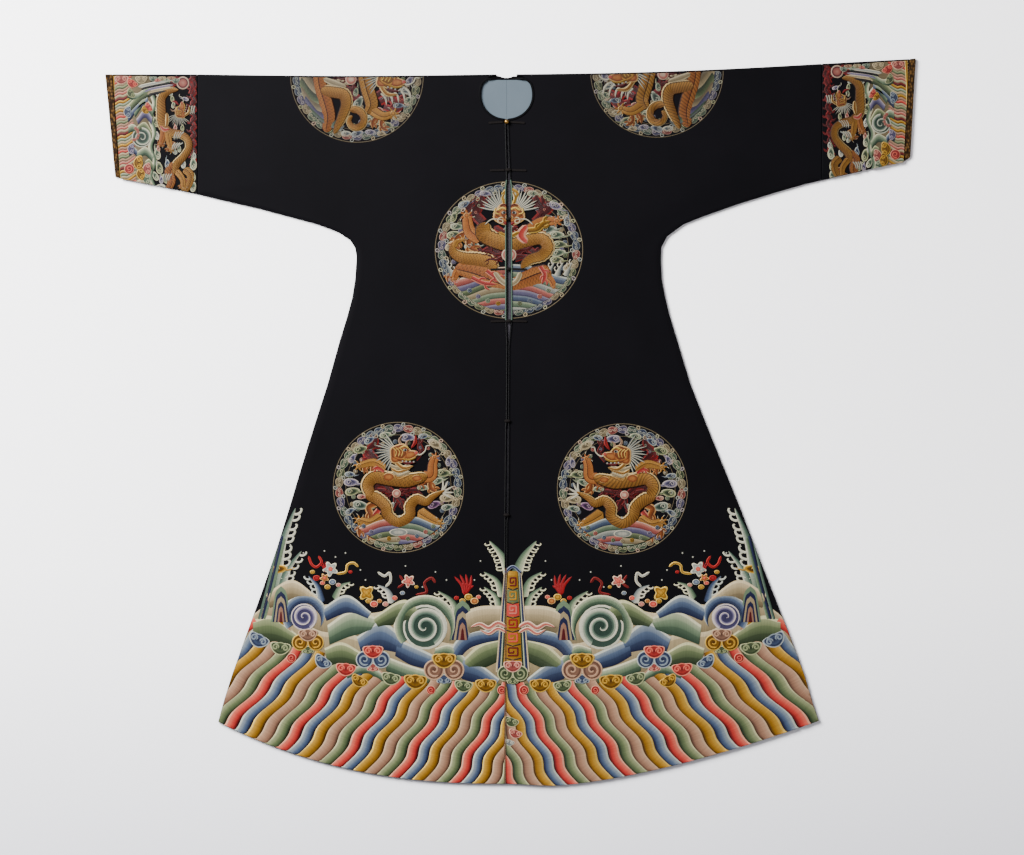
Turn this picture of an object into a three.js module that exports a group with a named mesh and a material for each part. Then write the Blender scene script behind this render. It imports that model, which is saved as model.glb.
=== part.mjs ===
// Padded roundel surcoat, laid flat and face up: a wide-sleeved court coat of dark wadded silk that opens
// down the centre front. Each half is one width of cloth that runs from the front hem over the shoulder to
// the back hem. Millimetres: X to the viewer's right, Y towards the neck, Z up from the surface it lies on.
// The origin is on that surface, under the middle of the coat. Right and left are the wearer's.
import * as THREE from 'three';

// Walls and gaps
const SEAM = 0.3; // gap left at every seam and under everything that lies on a panel
const BACK_WALL = 3; // back panel: silk, wadding and lining
const FRONT_WALL = 3.2;
const LINING_WALL = 0.8;
const EDGING_WALL = 3.1;
const FRONT_REST = BACK_WALL + SEAM + LINING_WALL + SEAM; // underside of the front panels
const FRONT_FACE = FRONT_REST + FRONT_WALL; // their upper face, where they lie flat
const PUFF = 1.4; // most that the wadding lifts the front
const SIDE_DIP = FRONT_REST - BACK_WALL - SEAM; // how far the front turns down to meet the back at a side

// Neck: a round hole, deeper in front than behind
const NECK_X = -8;
const NECK_Y = 654; // height of its widest place
const NECK_HALF_WIDTH = 51;
const NECK_DROP = 47; // from the widest place down to the opening of the front
const NECK_RISE = 44; // and up to the shoulder fold
const NECK_TOP_POWER = 2.4; // how square the upper corners are, 2 being an ellipse
const BACK_NECK_Y = 689;
const BACK_NECK_HALF_WIDTH = 20;
const SHOULDER_Y = 696; // the fold at the neck

// Down from the fold: heights of the centre front and centre back, and where the outer edge has got to
const SECTIONS = {
  right: [
    { front: 696, back: 696, sideX: -626, sideY: 696 }, // fold, at the cuff band
    { front: 687, back: 691, sideX: -626, sideY: 686 },
    { front: 680, back: 689.4, sideX: -626, sideY: 672 },
    { front: 670, back: 686, sideX: -626, sideY: 652 },
    { front: 654, back: 664, sideX: -626, sideY: 620 }, // widest place of the neck
    { front: 632, back: 636, sideX: -626, sideY: 584 },
    { front: 618, back: 618, sideX: -626, sideY: 552 },
    { front: 610, back: 610, sideX: -626, sideY: 524 },
    { front: 607, back: 606, sideX: -626, sideY: 500 }, // foot of the neck
    { front: 592, back: 592, sideX: -626, sideY: 476 },
    { front: 564, back: 564, sideX: -626, sideY: 456 }, // underside of the sleeve begins
    { front: 534, back: 534, sideX: -577, sideY: 444 },
    { front: 500, back: 500, sideX: -507, sideY: 428 },
    { front: 472, back: 472, sideX: -447, sideY: 412 },
    { front: 444, back: 444, sideX: -387, sideY: 396 },
    { front: 416, back: 416, sideX: -345, sideY: 380 },
    { front: 388, back: 388, sideX: -321, sideY: 364 },
    { front: 360, back: 360, sideX: -311, sideY: 348 },
    { front: 332, back: 332, sideX: -308, sideY: 330 }, // underarm
    { front: 284, back: 284, sideX: -311, sideY: 286 },
    { front: 244, back: 244, sideX: -317, sideY: 248 },
    { front: 204, back: 204, sideX: -327, sideY: 211 },
    { front: 152, back: 152, sideX: -342, sideY: 162 },
    { front: 60, back: 60, sideX: -366, sideY: 76 },
    { front: -30, back: -30, sideX: -393, sideY: -8 },
    { front: -120, back: -120, sideX: -419, sideY: -92 },
    { front: -210, back: -210, sideX: -444, sideY: -176 },
    { front: -300, back: -300, sideX: -470, sideY: -260 },
    { front: -390, back: -390, sideX: -499, sideY: -344 },
    { front: -480, back: -480, sideX: -531, sideY: -432 },
    { front: -570, back: -570, sideX: -558, sideY: -508 },
    { front: -650, back: -650, sideX: -573, sideY: -556 },
    { front: -724, back: -724, sideX: -585, sideY: -600 }, // hem
  ],
  left: [
    { front: 696, back: 696, sideX: 623, sideY: 717 }, // fold, at the cuff band
    { front: 687, back: 691, sideX: 623, sideY: 707 },
    { front: 680, back: 689.4, sideX: 623, sideY: 693 },
    { front: 670, back: 686, sideX: 623, sideY: 673 },
    { front: 654, back: 664, sideX: 623, sideY: 642 }, // widest place of the neck
    { front: 632, back: 636, sideX: 623, sideY: 607 },
    { front: 618, back: 618, sideX: 623, sideY: 577 },
    { front: 610, back: 610, sideX: 623, sideY: 549 },
    { front: 607, back: 606, sideX: 623, sideY: 526 }, // foot of the neck
    { front: 592, back: 592, sideX: 623, sideY: 503 },
    { front: 564, back: 564, sideX: 623, sideY: 484 }, // underside of the sleeve begins
    { front: 534, back: 534, sideX: 589, sideY: 476 },
    { front: 500, back: 500, sideX: 533, sideY: 460 },
    { front: 472, back: 472, sideX: 455, sideY: 436 },
    { front: 444, back: 444, sideX: 387, sideY: 412 },
    { front: 416, back: 416, sideX: 347, sideY: 396 },
    { front: 388, back: 388, sideX: 314, sideY: 372 },
    { front: 360, back: 360, sideX: 302, sideY: 350 },
    { front: 332, back: 332, sideX: 301, sideY: 324 }, // underarm
    { front: 284, back: 284, sideX: 303, sideY: 284 },
    { front: 244, back: 244, sideX: 310, sideY: 248 },
    { front: 204, back: 204, sideX: 319, sideY: 211 },
    { front: 152, back: 152, sideX: 334, sideY: 162 },
    { front: 60, back: 60, sideX: 360, sideY: 76 },
    { front: -30, back: -30, sideX: 393, sideY: -8 },
    { front: -120, back: -120, sideX: 427, sideY: -92 },
    { front: -210, back: -210, sideX: 461, sideY: -176 },
    { front: -300, back: -300, sideX: 493, sideY: -260 },
    { front: -390, back: -390, sideX: 526, sideY: -344 },
    { front: -480, back: -480, sideX: 561, sideY: -432 },
    { front: -570, back: -570, sideX: 589, sideY: -508 },
    { front: -650, back: -650, sideX: 603, sideY: -556 },
    { front: -724, back: -724, sideX: 617, sideY: -598 }, // hem
  ],
};
const SLEEVE_ROW = 10; // sections with these numbers, counted from the fold
const UNDERARM_ROW = 18;
const HEM_ROW = 32;

// Down the centre front: where the two edges meet or part
const OPENING = [
  { height: 607, middle: -8, gap: 2 }, // foot of the neck
  { height: 540, middle: -6, gap: 2.4 },
  { height: 484, middle: -4, gap: 4 },
  { height: 470, middle: -4, gap: 8 }, // gapes over the chest
  { height: 204, middle: -3.6, gap: 8 },
  { height: 152, middle: -5, gap: 1 },
  { height: 4, middle: -6, gap: 0.6 },
  { height: -8, middle: -6.4, gap: 3 }, // and a little over the lap
  { height: -186, middle: -8, gap: 3 },
  { height: -200, middle: -9, gap: SEAM },
  { height: -724, middle: -11, gap: SEAM }, // hem
];
const BACK_SEAM = [
  { height: BACK_NECK_Y, middle: NECK_X, gap: SEAM },
  { height: -724, middle: -11, gap: SEAM },
];

// Bow of the two long edges: the fold sags a little, and the hem is an arc that starts flat at the centre
const FOLD_SAG = { right: 3, left: 4.5 };
const HEM_ARC = {
  right: { flatTo: 0, dip: 0, power: 2.36 },
  left: { flatTo: 0.143, dip: 4, power: 1.5 },
};

// Cuff bands and their edging, by their corners
const CUFF_BANDS = {
  right: { topIn: [-626.3, 696], topOut: [-796, 696], bottomIn: [-626.3, 456], bottomOut: [-782, 489] },
  left: { topIn: [623.3, 717], topOut: [798, 726.6], bottomIn: [623.3, 484], bottomOut: [787, 521] },
};
const CUFF_EDGINGS = {
  right: { topIn: [-796.3, 696], topOut: [-811, 696], bottomIn: [-782.3, 489], bottomOut: [-791, 491] },
  left: { topIn: [798.3, 726.7], topOut: [811, 728], bottomIn: [787.3, 521], bottomOut: [800, 530] },
};

// Back lining: cut to the body, short of the side seams and the hem
const LINING_TOP = 684.5;
const LINING_HALF_WIDTH = 280;
const LINING_SHARE = 0.9; // of the way to the side seam
const LINING_HEM_INSET = 12;

// Neck binding: stations from the front opening round to the centre back, by how far they are from its middle
const BINDING_WIDTH = 4;
const BINDING_THICKNESS = 1.2;
const BINDING_INSET = 2.6; // of its middle from the edge it lies along
const BINDING_FRONT_STEPS = 12;
const BINDING_ON_FRONT = FRONT_FACE + SEAM + BINDING_THICKNESS / 2;
const BINDING_ON_BACK = BACK_WALL + SEAM + BINDING_THICKNESS / 2;
const BINDING_TURN = [
  { out: 39, height: 685.8, z: BINDING_ON_FRONT },
  { out: 32, height: 686.6, z: BINDING_ON_FRONT },
  { out: 25.5, height: 686.8, z: 6.4 },
  { out: 19, height: 687, z: 4.5 },
  { out: 12, height: 687, z: BINDING_ON_BACK },
];
const BINDING_BACK_HEIGHT = 687;
const BINDING_FRONT_END = 6; // distance of each end from the middle of the opening

// Fastenings down the front: a gilt ball at the neck, knots of dark cord below it
const BALL_RADIUS = 5;
const KNOT = { across: 6.5, along: 3.5, thick: 3 };
const BAR = { length: 29, width: 4, thickness: 1.6, start: 7.6 };
const FASTENINGS = [
  { height: 600, ball: true, bars: true, slant: 0.06 },
  { height: 504, ball: false, bars: true, slant: 0.03 },
  { height: 406, ball: false, bars: true, slant: 0.05 },
  { height: 306, ball: false, bars: true, slant: 0.04 },
  { height: 202, ball: false, bars: true, slant: 0.02 },
  { height: 2, ball: false, bars: false, slant: 0 },
  { height: -186, ball: false, bars: false, slant: 0 },
];

const COLOURS = {
  silk: { color: 0x14141c, roughness: 0.55, metalness: 0 },
  embroidery: { color: 0xb49a5c, roughness: 0.6, metalness: 0 },
  brocade: { color: 0x4a3018, roughness: 0.6, metalness: 0 },
  lining: { color: 0x91a5af, roughness: 0.5, metalness: 0 },
  cord: { color: 0x1a1712, roughness: 0.8, metalness: 0 },
  gilt: { color: 0xc9a050, roughness: 0.3, metalness: 1 },
};

const FOLD_STEPS = 4; // flat faces round a fold
const HALF_COLUMNS = [0, 0.04, 0.13, 0.27, 0.42, 0.57, 0.72, 0.85, 0.94, 0.975, 1]; // from the centre outwards
const BAND_COLUMNS = [0, 0.25, 0.5, 0.75, 1];
const EDGING_COLUMNS = [0, 1];
const BAND_ROWS = 8;
const LINING_ROWS = 12;
const LINING_COLUMNS = [0, 0.35, 0.7, 1];

const lerp = THREE.MathUtils.lerp;
const smoothstep = THREE.MathUtils.smoothstep;

/** Value of a column where another column passes a given height, in a table that runs downwards. */
function readDown(table, heightColumn, height, column) {
  let i = 0;
  while (i < table.length - 2 && table[i + 1][heightColumn] > height) i += 1;
  const upper = table[i];
  const lower = table[i + 1];
  const share = (upper[heightColumn] - height) / (upper[heightColumn] - lower[heightColumn]);
  return lerp(upper[column], lower[column], THREE.MathUtils.clamp(share, 0, 1));
}

/** A section between two rows of a half's table. */
function sectionAt(side, row) {
  const table = SECTIONS[side];
  const i = Math.min(Math.floor(row), table.length - 2);
  const mixed = {};
  for (const column of Object.keys(table[i])) {
    mixed[column] = lerp(table[i][column], table[i + 1][column], row - i);
  }
  return mixed;
}

/** How far the neck's edge in front is from its middle at a height: an ellipse below, squarer above. */
function neckReach(height) {
  const above = height > NECK_Y;
  const depth = Math.abs(height - NECK_Y) / (above ? NECK_RISE : NECK_DROP);
  const power = above ? NECK_TOP_POWER : 2;
  return depth >= 1 ? 0 : NECK_HALF_WIDTH * (1 - depth ** power) ** (1 / power);
}

const signOf = (side) => (side === 'right' ? -1 : 1);

/** X of the centre edge of a half, on its front or its back. */
function centreX(side, face, height) {
  const table = face === 'front' ? OPENING : BACK_SEAM;
  const middle = readDown(table, 'height', height, 'middle');
  const half = readDown(table, 'height', height, 'gap') / 2;
  const backDepth = Math.max(0, height - BACK_NECK_Y) / (SHOULDER_Y - BACK_NECK_Y);
  const neck = face === 'front' ? neckReach(height) : BACK_NECK_HALF_WIDTH * Math.sqrt(backDepth);
  return neck > 0 ? NECK_X + signOf(side) * Math.max(neck, half) : middle + signOf(side) * half;
}

/** How far the hem's arc is above its lowest line, u from the centre to the corner, as a share of its rise. */
function hemArc(side, u) {
  const { flatTo, dip, power } = HEM_ARC[side];
  const rise = SECTIONS[side][HEM_ROW].sideY - SECTIONS[side][HEM_ROW].front + dip;
  const early = flatTo > 0 ? smoothstep(u, 0, flatTo) : 1;
  return Math.max(0, (u - flatTo) / (1 - flatTo)) ** power * rise - dip * early;
}

/** Place on a half, u from the centre edge (0) to the outer edge (1) along a row from the fold (0) to the hem. */
function halfPoint(side, face, u, row) {
  const section = sectionAt(side, row);
  const height = section[face];
  const foldBow = -FOLD_SAG[side] * Math.sin(Math.PI * u) * (1 - smoothstep(row, 0, SLEEVE_ROW));
  const rise = SECTIONS[side][HEM_ROW].sideY - SECTIONS[side][HEM_ROW].front;
  const hemBow = (hemArc(side, u) - rise * u) * smoothstep(row, UNDERARM_ROW, HEM_ROW);
  return {
    x: lerp(centreX(side, face, height), section.sideX, u),
    y: lerp(height, section.sideY, u) + foldBow + hemBow,
  };
}

/** Lift of the front over its rest: slow swells of the wadding, none at the edges, and a turn down at the side. */
function halfLift(u, row, x, y) {
  const inside = smoothstep(u, 0.13, 0.35) * (1 - smoothstep(u, 0.72, 0.975));
  const down = smoothstep(row, 0, SLEEVE_ROW) * (1 - smoothstep(row, HEM_ROW - 2, HEM_ROW));
  const swell = 0.6 + 0.25 * Math.sin(x / 70 + y / 160) + 0.15 * Math.cos(y / 55 - x / 210);
  const dip = row >= SLEEVE_ROW ? SIDE_DIP * smoothstep(u, 0.975, 1) : 0;
  return PUFF * inside * down * swell - dip;
}

/** Place on a four-cornered strip, u from its inner to its outer edge, v from the fold to the sleeve's underside. */
function stripPoint(corners, u, v) {
  const mix = (i) => lerp(
    lerp(corners.topIn[i], corners.topOut[i], u),
    lerp(corners.bottomIn[i], corners.bottomOut[i], u),
    v,
  );
  return { x: mix(0), y: mix(1) };
}

/** Closed wall between two grids of points, upper and lower, each a list of rows of Vector3. */
function wallBetween(upper, lower) {
  const rows = upper.length;
  const columns = upper[0].length;
  const count = rows * columns;
  const places = [...upper.flat(), ...lower.flat()].flatMap((p) => [p.x, p.y, p.z]);
  const index = [];
  const at = (i, j) => i * columns + j;
  const quad = (a, b, c, d) => index.push(a, b, c, a, c, d);
  for (let i = 0; i < rows - 1; i += 1) {
    for (let j = 0; j < columns - 1; j += 1) {
      quad(at(i, j), at(i + 1, j), at(i + 1, j + 1), at(i, j + 1));
      quad(at(i, j) + count, at(i, j + 1) + count, at(i + 1, j + 1) + count, at(i + 1, j) + count);
    }
    quad(at(i, 0), at(i, 0) + count, at(i + 1, 0) + count, at(i + 1, 0));
    const last = columns - 1;
    quad(at(i, last), at(i + 1, last), at(i + 1, last) + count, at(i, last) + count);
  }
  for (let j = 0; j < columns - 1; j += 1) {
    quad(at(0, j), at(0, j + 1), at(0, j + 1) + count, at(0, j) + count);
    const end = rows - 1;
    quad(at(end, j), at(end, j) + count, at(end, j + 1) + count, at(end, j + 1));
  }
  return facingOut(places, index);
}

/** Geometry from shared points and triangles, turned so that its faces point out. */
function facingOut(places, index) {
  const point = (i) => new THREE.Vector3(places[3 * i], places[3 * i + 1], places[3 * i + 2]);
  let volume = 0;
  for (let t = 0; t < index.length; t += 3) {
    const [a, b, c] = [point(index[t]), point(index[t + 1]), point(index[t + 2])];
    volume += a.dot(b.cross(c));
  }
  const geometry = new THREE.BufferGeometry();
  geometry.setAttribute('position', new THREE.Float32BufferAttribute(places, 3));
  geometry.setIndex(volume < 0 ? index.reverse() : index);
  geometry.computeVertexNormals();
  return geometry;
}

/**
 * A wall folded over at the top: down the front, round the fold and down the back. place(face, u, row) gives
 * its outline, lift(u, row, x, y) what the front rises, and wall the thickness of the front.
 */
function foldedWall({ rows, columns, place, lift, frontWall, backWall }) {
  const outerRadius = (FRONT_REST + frontWall) / 2;
  const innerRadius = (FRONT_REST - backWall) / 2;
  const outer = [];
  const inner = [];
  const onFace = (face, row) => {
    const out = [];
    const under = [];
    for (const u of columns) {
      const { x, y } = place(face, u, row);
      const fold = place(face, u, 0).y - outerRadius;
      const yClear = Math.min(y, fold);
      const rise = face === 'front' ? lift(u, row, x, y) : 0;
      out.push(new THREE.Vector3(x, yClear, face === 'front' ? FRONT_REST + frontWall + rise : 0));
      under.push(new THREE.Vector3(x, yClear, face === 'front' ? FRONT_REST + rise : backWall));
    }
    outer.push(out);
    inner.push(under);
  };
  const roundFold = (step) => {
    const angle = (Math.PI * step) / FOLD_STEPS;
    const out = [];
    const under = [];
    for (const u of columns) {
      const front = place('front', u, 0);
      const back = place('back', u, 0);
      const x = lerp(front.x, back.x, step / FOLD_STEPS);
      const y = front.y - outerRadius;
      const z = outerRadius + outerRadius * Math.cos(angle);
      const zUnder = backWall + innerRadius + innerRadius * Math.cos(angle);
      out.push(new THREE.Vector3(x, y + outerRadius * Math.sin(angle), z));
      under.push(new THREE.Vector3(x, y + innerRadius * Math.sin(angle), zUnder));
    }
    outer.push(out);
    inner.push(under);
  };
  for (let i = rows.length - 1; i >= 0; i -= 1) onFace('front', rows[i]);
  for (let step = 1; step < FOLD_STEPS; step += 1) roundFold(step);
  for (const row of rows) onFace('back', row);
  return wallBetween(outer, inner);
}

function halfGeometry(side) {
  return foldedWall({
    rows: SECTIONS[side].map((section, i) => i),
    columns: HALF_COLUMNS,
    place: (face, u, row) => halfPoint(side, face, u, row),
    lift: halfLift,
    frontWall: FRONT_WALL,
    backWall: BACK_WALL,
  });
}

function stripGeometry(corners, columns, frontWall) {
  return foldedWall({
    rows: Array.from({ length: BAND_ROWS + 1 }, (unused, i) => i / BAND_ROWS),
    columns,
    place: (face, u, v) => stripPoint(corners, u, v),
    lift: (u, v) => -SIDE_DIP * smoothstep(v, 1 - 1 / BAND_ROWS, 1),
    frontWall,
    backWall: BACK_WALL,
  });
}

/** Half of the back lining: from just under the neck to just above the hem, on the inside of the back. */
function liningGeometry(side) {
  const sign = signOf(side);
  const table = SECTIONS[side];
  const hem = table[HEM_ROW];
  const upper = [];
  const lower = [];
  for (let i = 0; i <= LINING_ROWS; i += 1) {
    const t = i / LINING_ROWS;
    const centreY = lerp(LINING_TOP, hem.back + LINING_HEM_INSET, t);
    const outerY = lerp(LINING_TOP, hem.sideY + LINING_HEM_INSET, t);
    const sideX = readDown(table.slice(UNDERARM_ROW), 'sideY', outerY, 'sideX');
    const outerX = sign * Math.max(LINING_HALF_WIDTH, Math.abs(sideX) * LINING_SHARE);
    const over = [];
    const under = [];
    for (const u of LINING_COLUMNS) {
      const bow = (hemArc(side, u * LINING_SHARE) - (hem.sideY - hem.back) * u) * smoothstep(t, 0.5, 1);
      const x = lerp(centreX(side, 'back', centreY), outerX, u);
      const y = lerp(centreY, outerY, u) + bow;
      over.push(new THREE.Vector3(x, y, BACK_WALL + SEAM + LINING_WALL));
      under.push(new THREE.Vector3(x, y, BACK_WALL + SEAM));
    }
    upper.push(over);
    lower.push(under);
  }
  return wallBetween(upper, lower);
}

/** Stations of the neck binding's middle line on one side, from the front opening to the turn at the shoulder. */
function bindingStations() {
  const stations = [];
  const highest = 676;
  for (let i = 0; i <= BINDING_FRONT_STEPS; i += 1) {
    const angle = lerp(-Math.PI / 2, Math.asin((highest - NECK_Y) / NECK_RISE), i / BINDING_FRONT_STEPS);
    const height = NECK_Y + Math.sin(angle) * (angle < 0 ? NECK_DROP : NECK_RISE);
    const reach = neckReach(height);
    const normal = new THREE.Vector2(Math.cos(angle), Math.sin(angle)).normalize();
    stations.push({
      out: Math.max(BINDING_FRONT_END, reach + BINDING_INSET * normal.x),
      height: height + BINDING_INSET * normal.y,
      z: BINDING_ON_FRONT,
    });
  }
  return [...stations, ...BINDING_TURN];
}

/** The neck binding: a flat band swept along its stations, open at the front. */
function bindingGeometry() {
  const half = bindingStations();
  const toPoint = (sign) => ({ out, height, z }) => new THREE.Vector3(NECK_X + sign * out, height, z);
  const path = [
    ...half.map(toPoint(-1)),
    new THREE.Vector3(NECK_X, BINDING_BACK_HEIGHT, BINDING_ON_BACK),
    ...half.toReversed().map(toPoint(1)),
  ];
  const upper = [];
  const lower = [];
  path.forEach((point, i) => {
    const ahead = path[Math.min(i + 1, path.length - 1)];
    const behind = path[Math.max(i - 1, 0)];
    const across = new THREE.Vector3(ahead.y - behind.y, behind.x - ahead.x, 0).normalize();
    const atOffset = (share, dz) => point.clone().addScaledVector(across, share * BINDING_WIDTH)
      .add(new THREE.Vector3(0, 0, dz * BINDING_THICKNESS));
    upper.push([atOffset(-0.5, 0), atOffset(-0.25, 0.5), atOffset(0.25, 0.5), atOffset(0.5, 0)]);
    lower.push([atOffset(-0.5, -0.3), atOffset(-0.25, -0.5), atOffset(0.25, -0.5), atOffset(0.5, -0.3)]);
  });
  return wallBetween(upper, lower);
}

/** A ball or a knot of cord that bridges the opening and rests on both its edges. */
function fasteningGeometry({ height, ball }) {
  const radii = ball
    ? { across: BALL_RADIUS, along: BALL_RADIUS, thick: BALL_RADIUS }
    : KNOT;
  const gap = readDown(OPENING, 'height', height - radii.along, 'gap');
  const seat = radii.thick * Math.sqrt(1 - (gap / 2 / radii.across) ** 2);
  const geometry = new THREE.SphereGeometry(1, 14, 9);
  geometry.rotateX(Math.PI / 2);
  geometry.scale(radii.across, radii.along, radii.thick);
  geometry.translate(readDown(OPENING, 'height', height, 'middle'), height, FRONT_FACE + SEAM + seat);
  return geometry;
}

/** A cord bar that lies on one front, from beside the fastening outwards. */
function barGeometry(side, { height, slant }) {
  const sign = signOf(side);
  const outline = new THREE.Shape();
  const radius = BAR.width / 2;
  outline.moveTo(0, -radius);
  outline.lineTo(BAR.length - radius, -radius);
  outline.absarc(BAR.length - radius, 0, radius, -Math.PI / 2, Math.PI / 2, false);
  outline.lineTo(0, radius);
  outline.closePath();
  const geometry = new THREE.ExtrudeGeometry(outline, {
    depth: BAR.thickness,
    bevelEnabled: false,
    curveSegments: 6,
  });
  geometry.rotateZ(side === 'right' ? Math.PI + slant : -slant);
  const middle = readDown(OPENING, 'height', height, 'middle');
  geometry.translate(middle + sign * BAR.start, height, FRONT_FACE + SEAM);
  return geometry;
}

const coat = new THREE.Group();
const materials = Object.fromEntries(
  Object.entries(COLOURS).map(([name, values]) => [name, new THREE.MeshStandardMaterial(values)]),
);

function add(name, geometry, material) {
  const mesh = new THREE.Mesh(geometry, materials[material]);
  mesh.name = name;
  coat.add(mesh);
}

for (const side of ['right', 'left']) {
  add(`${side}_half`, halfGeometry(side), 'silk');
  add(`${side}_cuff_band`, stripGeometry(CUFF_BANDS[side], BAND_COLUMNS, FRONT_WALL), 'embroidery');
  add(`${side}_cuff_edging`, stripGeometry(CUFF_EDGINGS[side], EDGING_COLUMNS, EDGING_WALL), 'brocade');
  add(`${side}_lining`, liningGeometry(side), 'lining');
}
add('neck_binding', bindingGeometry(), 'silk');
FASTENINGS.forEach((fastening, i) => {
  const number = i + 1;
  add(`button_${number}`, fasteningGeometry(fastening), fastening.ball ? 'gilt' : 'cord');
  if (fastening.bars) {
    add(`loop_${number}`, barGeometry('right', fastening), 'cord');
    add(`tab_${number}`, barGeometry('left', fastening), 'cord');
  }
});

export default coat;
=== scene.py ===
"""Padded roundel surcoat, laid flat and face up: silk halves, embroidery, cuffs and fastenings.

Plan sizes are in millimetres: x to the viewer's right, y towards the neck, z up from the surface it lies on.
Right and left are the wearer's.
"""

import math

import bpy
import numpy as np
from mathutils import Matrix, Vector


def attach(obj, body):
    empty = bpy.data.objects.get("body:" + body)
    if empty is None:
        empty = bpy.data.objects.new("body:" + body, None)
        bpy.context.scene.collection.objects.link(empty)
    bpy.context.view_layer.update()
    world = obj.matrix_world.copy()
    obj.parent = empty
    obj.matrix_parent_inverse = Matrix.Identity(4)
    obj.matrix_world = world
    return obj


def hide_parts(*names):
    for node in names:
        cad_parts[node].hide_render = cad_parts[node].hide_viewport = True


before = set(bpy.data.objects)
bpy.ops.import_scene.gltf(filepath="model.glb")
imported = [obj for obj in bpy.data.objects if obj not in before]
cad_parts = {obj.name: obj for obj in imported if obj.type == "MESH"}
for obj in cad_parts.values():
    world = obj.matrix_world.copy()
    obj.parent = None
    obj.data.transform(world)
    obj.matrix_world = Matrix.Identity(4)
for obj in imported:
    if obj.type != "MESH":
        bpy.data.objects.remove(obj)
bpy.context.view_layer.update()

MM = 0.001

# Walls and gaps of the coat
SEAM = 0.3
BACK_WALL = 3.0
FRONT_WALL = 3.2
EDGING_WALL = 3.1
FRONT_REST = 4.4
FRONT_FACE = FRONT_REST + FRONT_WALL
SIDE_DIP = FRONT_REST - BACK_WALL - SEAM
PUFF = 1.4
EDGE_ROUND = 1.5

# Points near a rounded edge lie at these distances from it, and evenly from the reach on
EDGE_STEPS = np.array([0, 0.2, 0.6, 1.1, 1.7])
EDGE_REACH = 3.0
INNER_STEPS, FOLD_STEPS = 56, 9

# Neck hole
NECK_X, NECK_Y = -8.0, 654.0
NECK_HALF_WIDTH, NECK_DROP, NECK_RISE = 51.0, 47.0, 44.0
NECK_TOP_POWER = 2.4
BACK_NECK_Y, BACK_NECK_HALF_WIDTH, SHOULDER_Y = 689.0, 20.0, 696.0

# Sections from the shoulder fold (first) to the hem (last): centre front, centre back, then the outer edge
SECTION_COLUMNS = ("front", "back", "right_x", "right_y", "left_x", "left_y")
SECTION_ROWS = (
    (696, 696, -626, 696, 623, 717),
    (687, 691, -626, 686, 623, 707),
    (680, 689.4, -626, 672, 623, 693),
    (670, 686, -626, 652, 623, 673),
    (654, 664, -626, 620, 623, 642),
    (632, 636, -626, 584, 623, 607),
    (618, 618, -626, 552, 623, 577),
    (610, 610, -626, 524, 623, 549),
    (607, 606, -626, 500, 623, 526),
    (592, 592, -626, 476, 623, 503),
    (564, 564, -626, 456, 623, 484),
    (534, 534, -577, 444, 589, 476),
    (500, 500, -507, 428, 533, 460),
    (472, 472, -447, 412, 455, 436),
    (444, 444, -387, 396, 387, 412),
    (416, 416, -345, 380, 347, 396),
    (388, 388, -321, 364, 314, 372),
    (360, 360, -311, 348, 302, 350),
    (332, 332, -308, 330, 301, 324),
    (284, 284, -311, 286, 303, 284),
    (244, 244, -317, 248, 310, 248),
    (204, 204, -327, 211, 319, 211),
    (152, 152, -342, 162, 334, 162),
    (60, 60, -366, 76, 360, 76),
    (-30, -30, -393, -8, 393, -8),
    (-120, -120, -419, -92, 427, -92),
    (-210, -210, -444, -176, 461, -176),
    (-300, -300, -470, -260, 493, -260),
    (-390, -390, -499, -344, 526, -344),
    (-480, -480, -531, -432, 561, -432),
    (-570, -570, -558, -508, 589, -508),
    (-650, -650, -573, -556, 603, -556),
    (-724, -724, -585, -600, 617, -598),
)
SECTIONS = dict(zip(SECTION_COLUMNS, np.array(SECTION_ROWS, float).T))
SLEEVE_ROW, UNDERARM_ROW, HEM_ROW = 10, 18, 32
HEM_ROW_DEPTH = 74.0

# Down the centre front: height, middle and gap of the opening
OPENING_ROWS = (
    (607, -8, 2),
    (540, -6, 2.4),
    (484, -4, 4),
    (470, -4, 8),
    (204, -3.6, 8),
    (152, -5, 1),
    (4, -6, 0.6),
    (-8, -6.4, 3),
    (-186, -8, 3),
    (-200, -9, SEAM),
    (-724, -11, SEAM),
)
OPENING = dict(zip(("height", "middle", "gap"), np.array(OPENING_ROWS, float)[::-1].T))
BACK_SEAM = {
    "height": np.array([-724.0, BACK_NECK_Y]),
    "middle": np.array([-11.0, NECK_X]),
    "gap": np.array([SEAM, SEAM]),
}
FOLD_SAG = {"right": 3.0, "left": 4.5}
HEM_ARC = {
    "right": {"flat_to": 0.0, "dip": 0.0, "power": 2.36},
    "left": {"flat_to": 0.143, "dip": 4.0, "power": 1.5},
}
SIDE_SIGN = {"right": -1, "left": 1}

# Corners of the cuff bands and of their edgings: towards the sleeve (in) and at the sleeve's end (out)
CORNER_NAMES = ("top_in", "top_out", "bottom_in", "bottom_out")
CUFF_BANDS = {
    "right": dict(zip(CORNER_NAMES, ((-626.3, 696), (-796, 696), (-626.3, 456), (-782, 489)))),
    "left": dict(zip(CORNER_NAMES, ((623.3, 717), (798, 726.6), (623.3, 484), (787, 521)))),
}
CUFF_EDGINGS = {
    "right": dict(zip(CORNER_NAMES, ((-796.3, 696), (-811, 696), (-782.3, 489), (-791, 491)))),
    "left": dict(zip(CORNER_NAMES, ((798.3, 726.7), (811, 728), (787.3, 521), (800, 530)))),
}
STRIP_DROP = 230.0


# ---------------------------------------------------------------- sizes of the coat as functions of place


def smooth(x, low, high):
    """3t^2 - 2t^3 with t = (x - low) / (high - low) kept between 0 and 1."""
    t = np.clip((x - low) / (high - low), 0, 1)
    return t * t * (3 - 2 * t)


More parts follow.
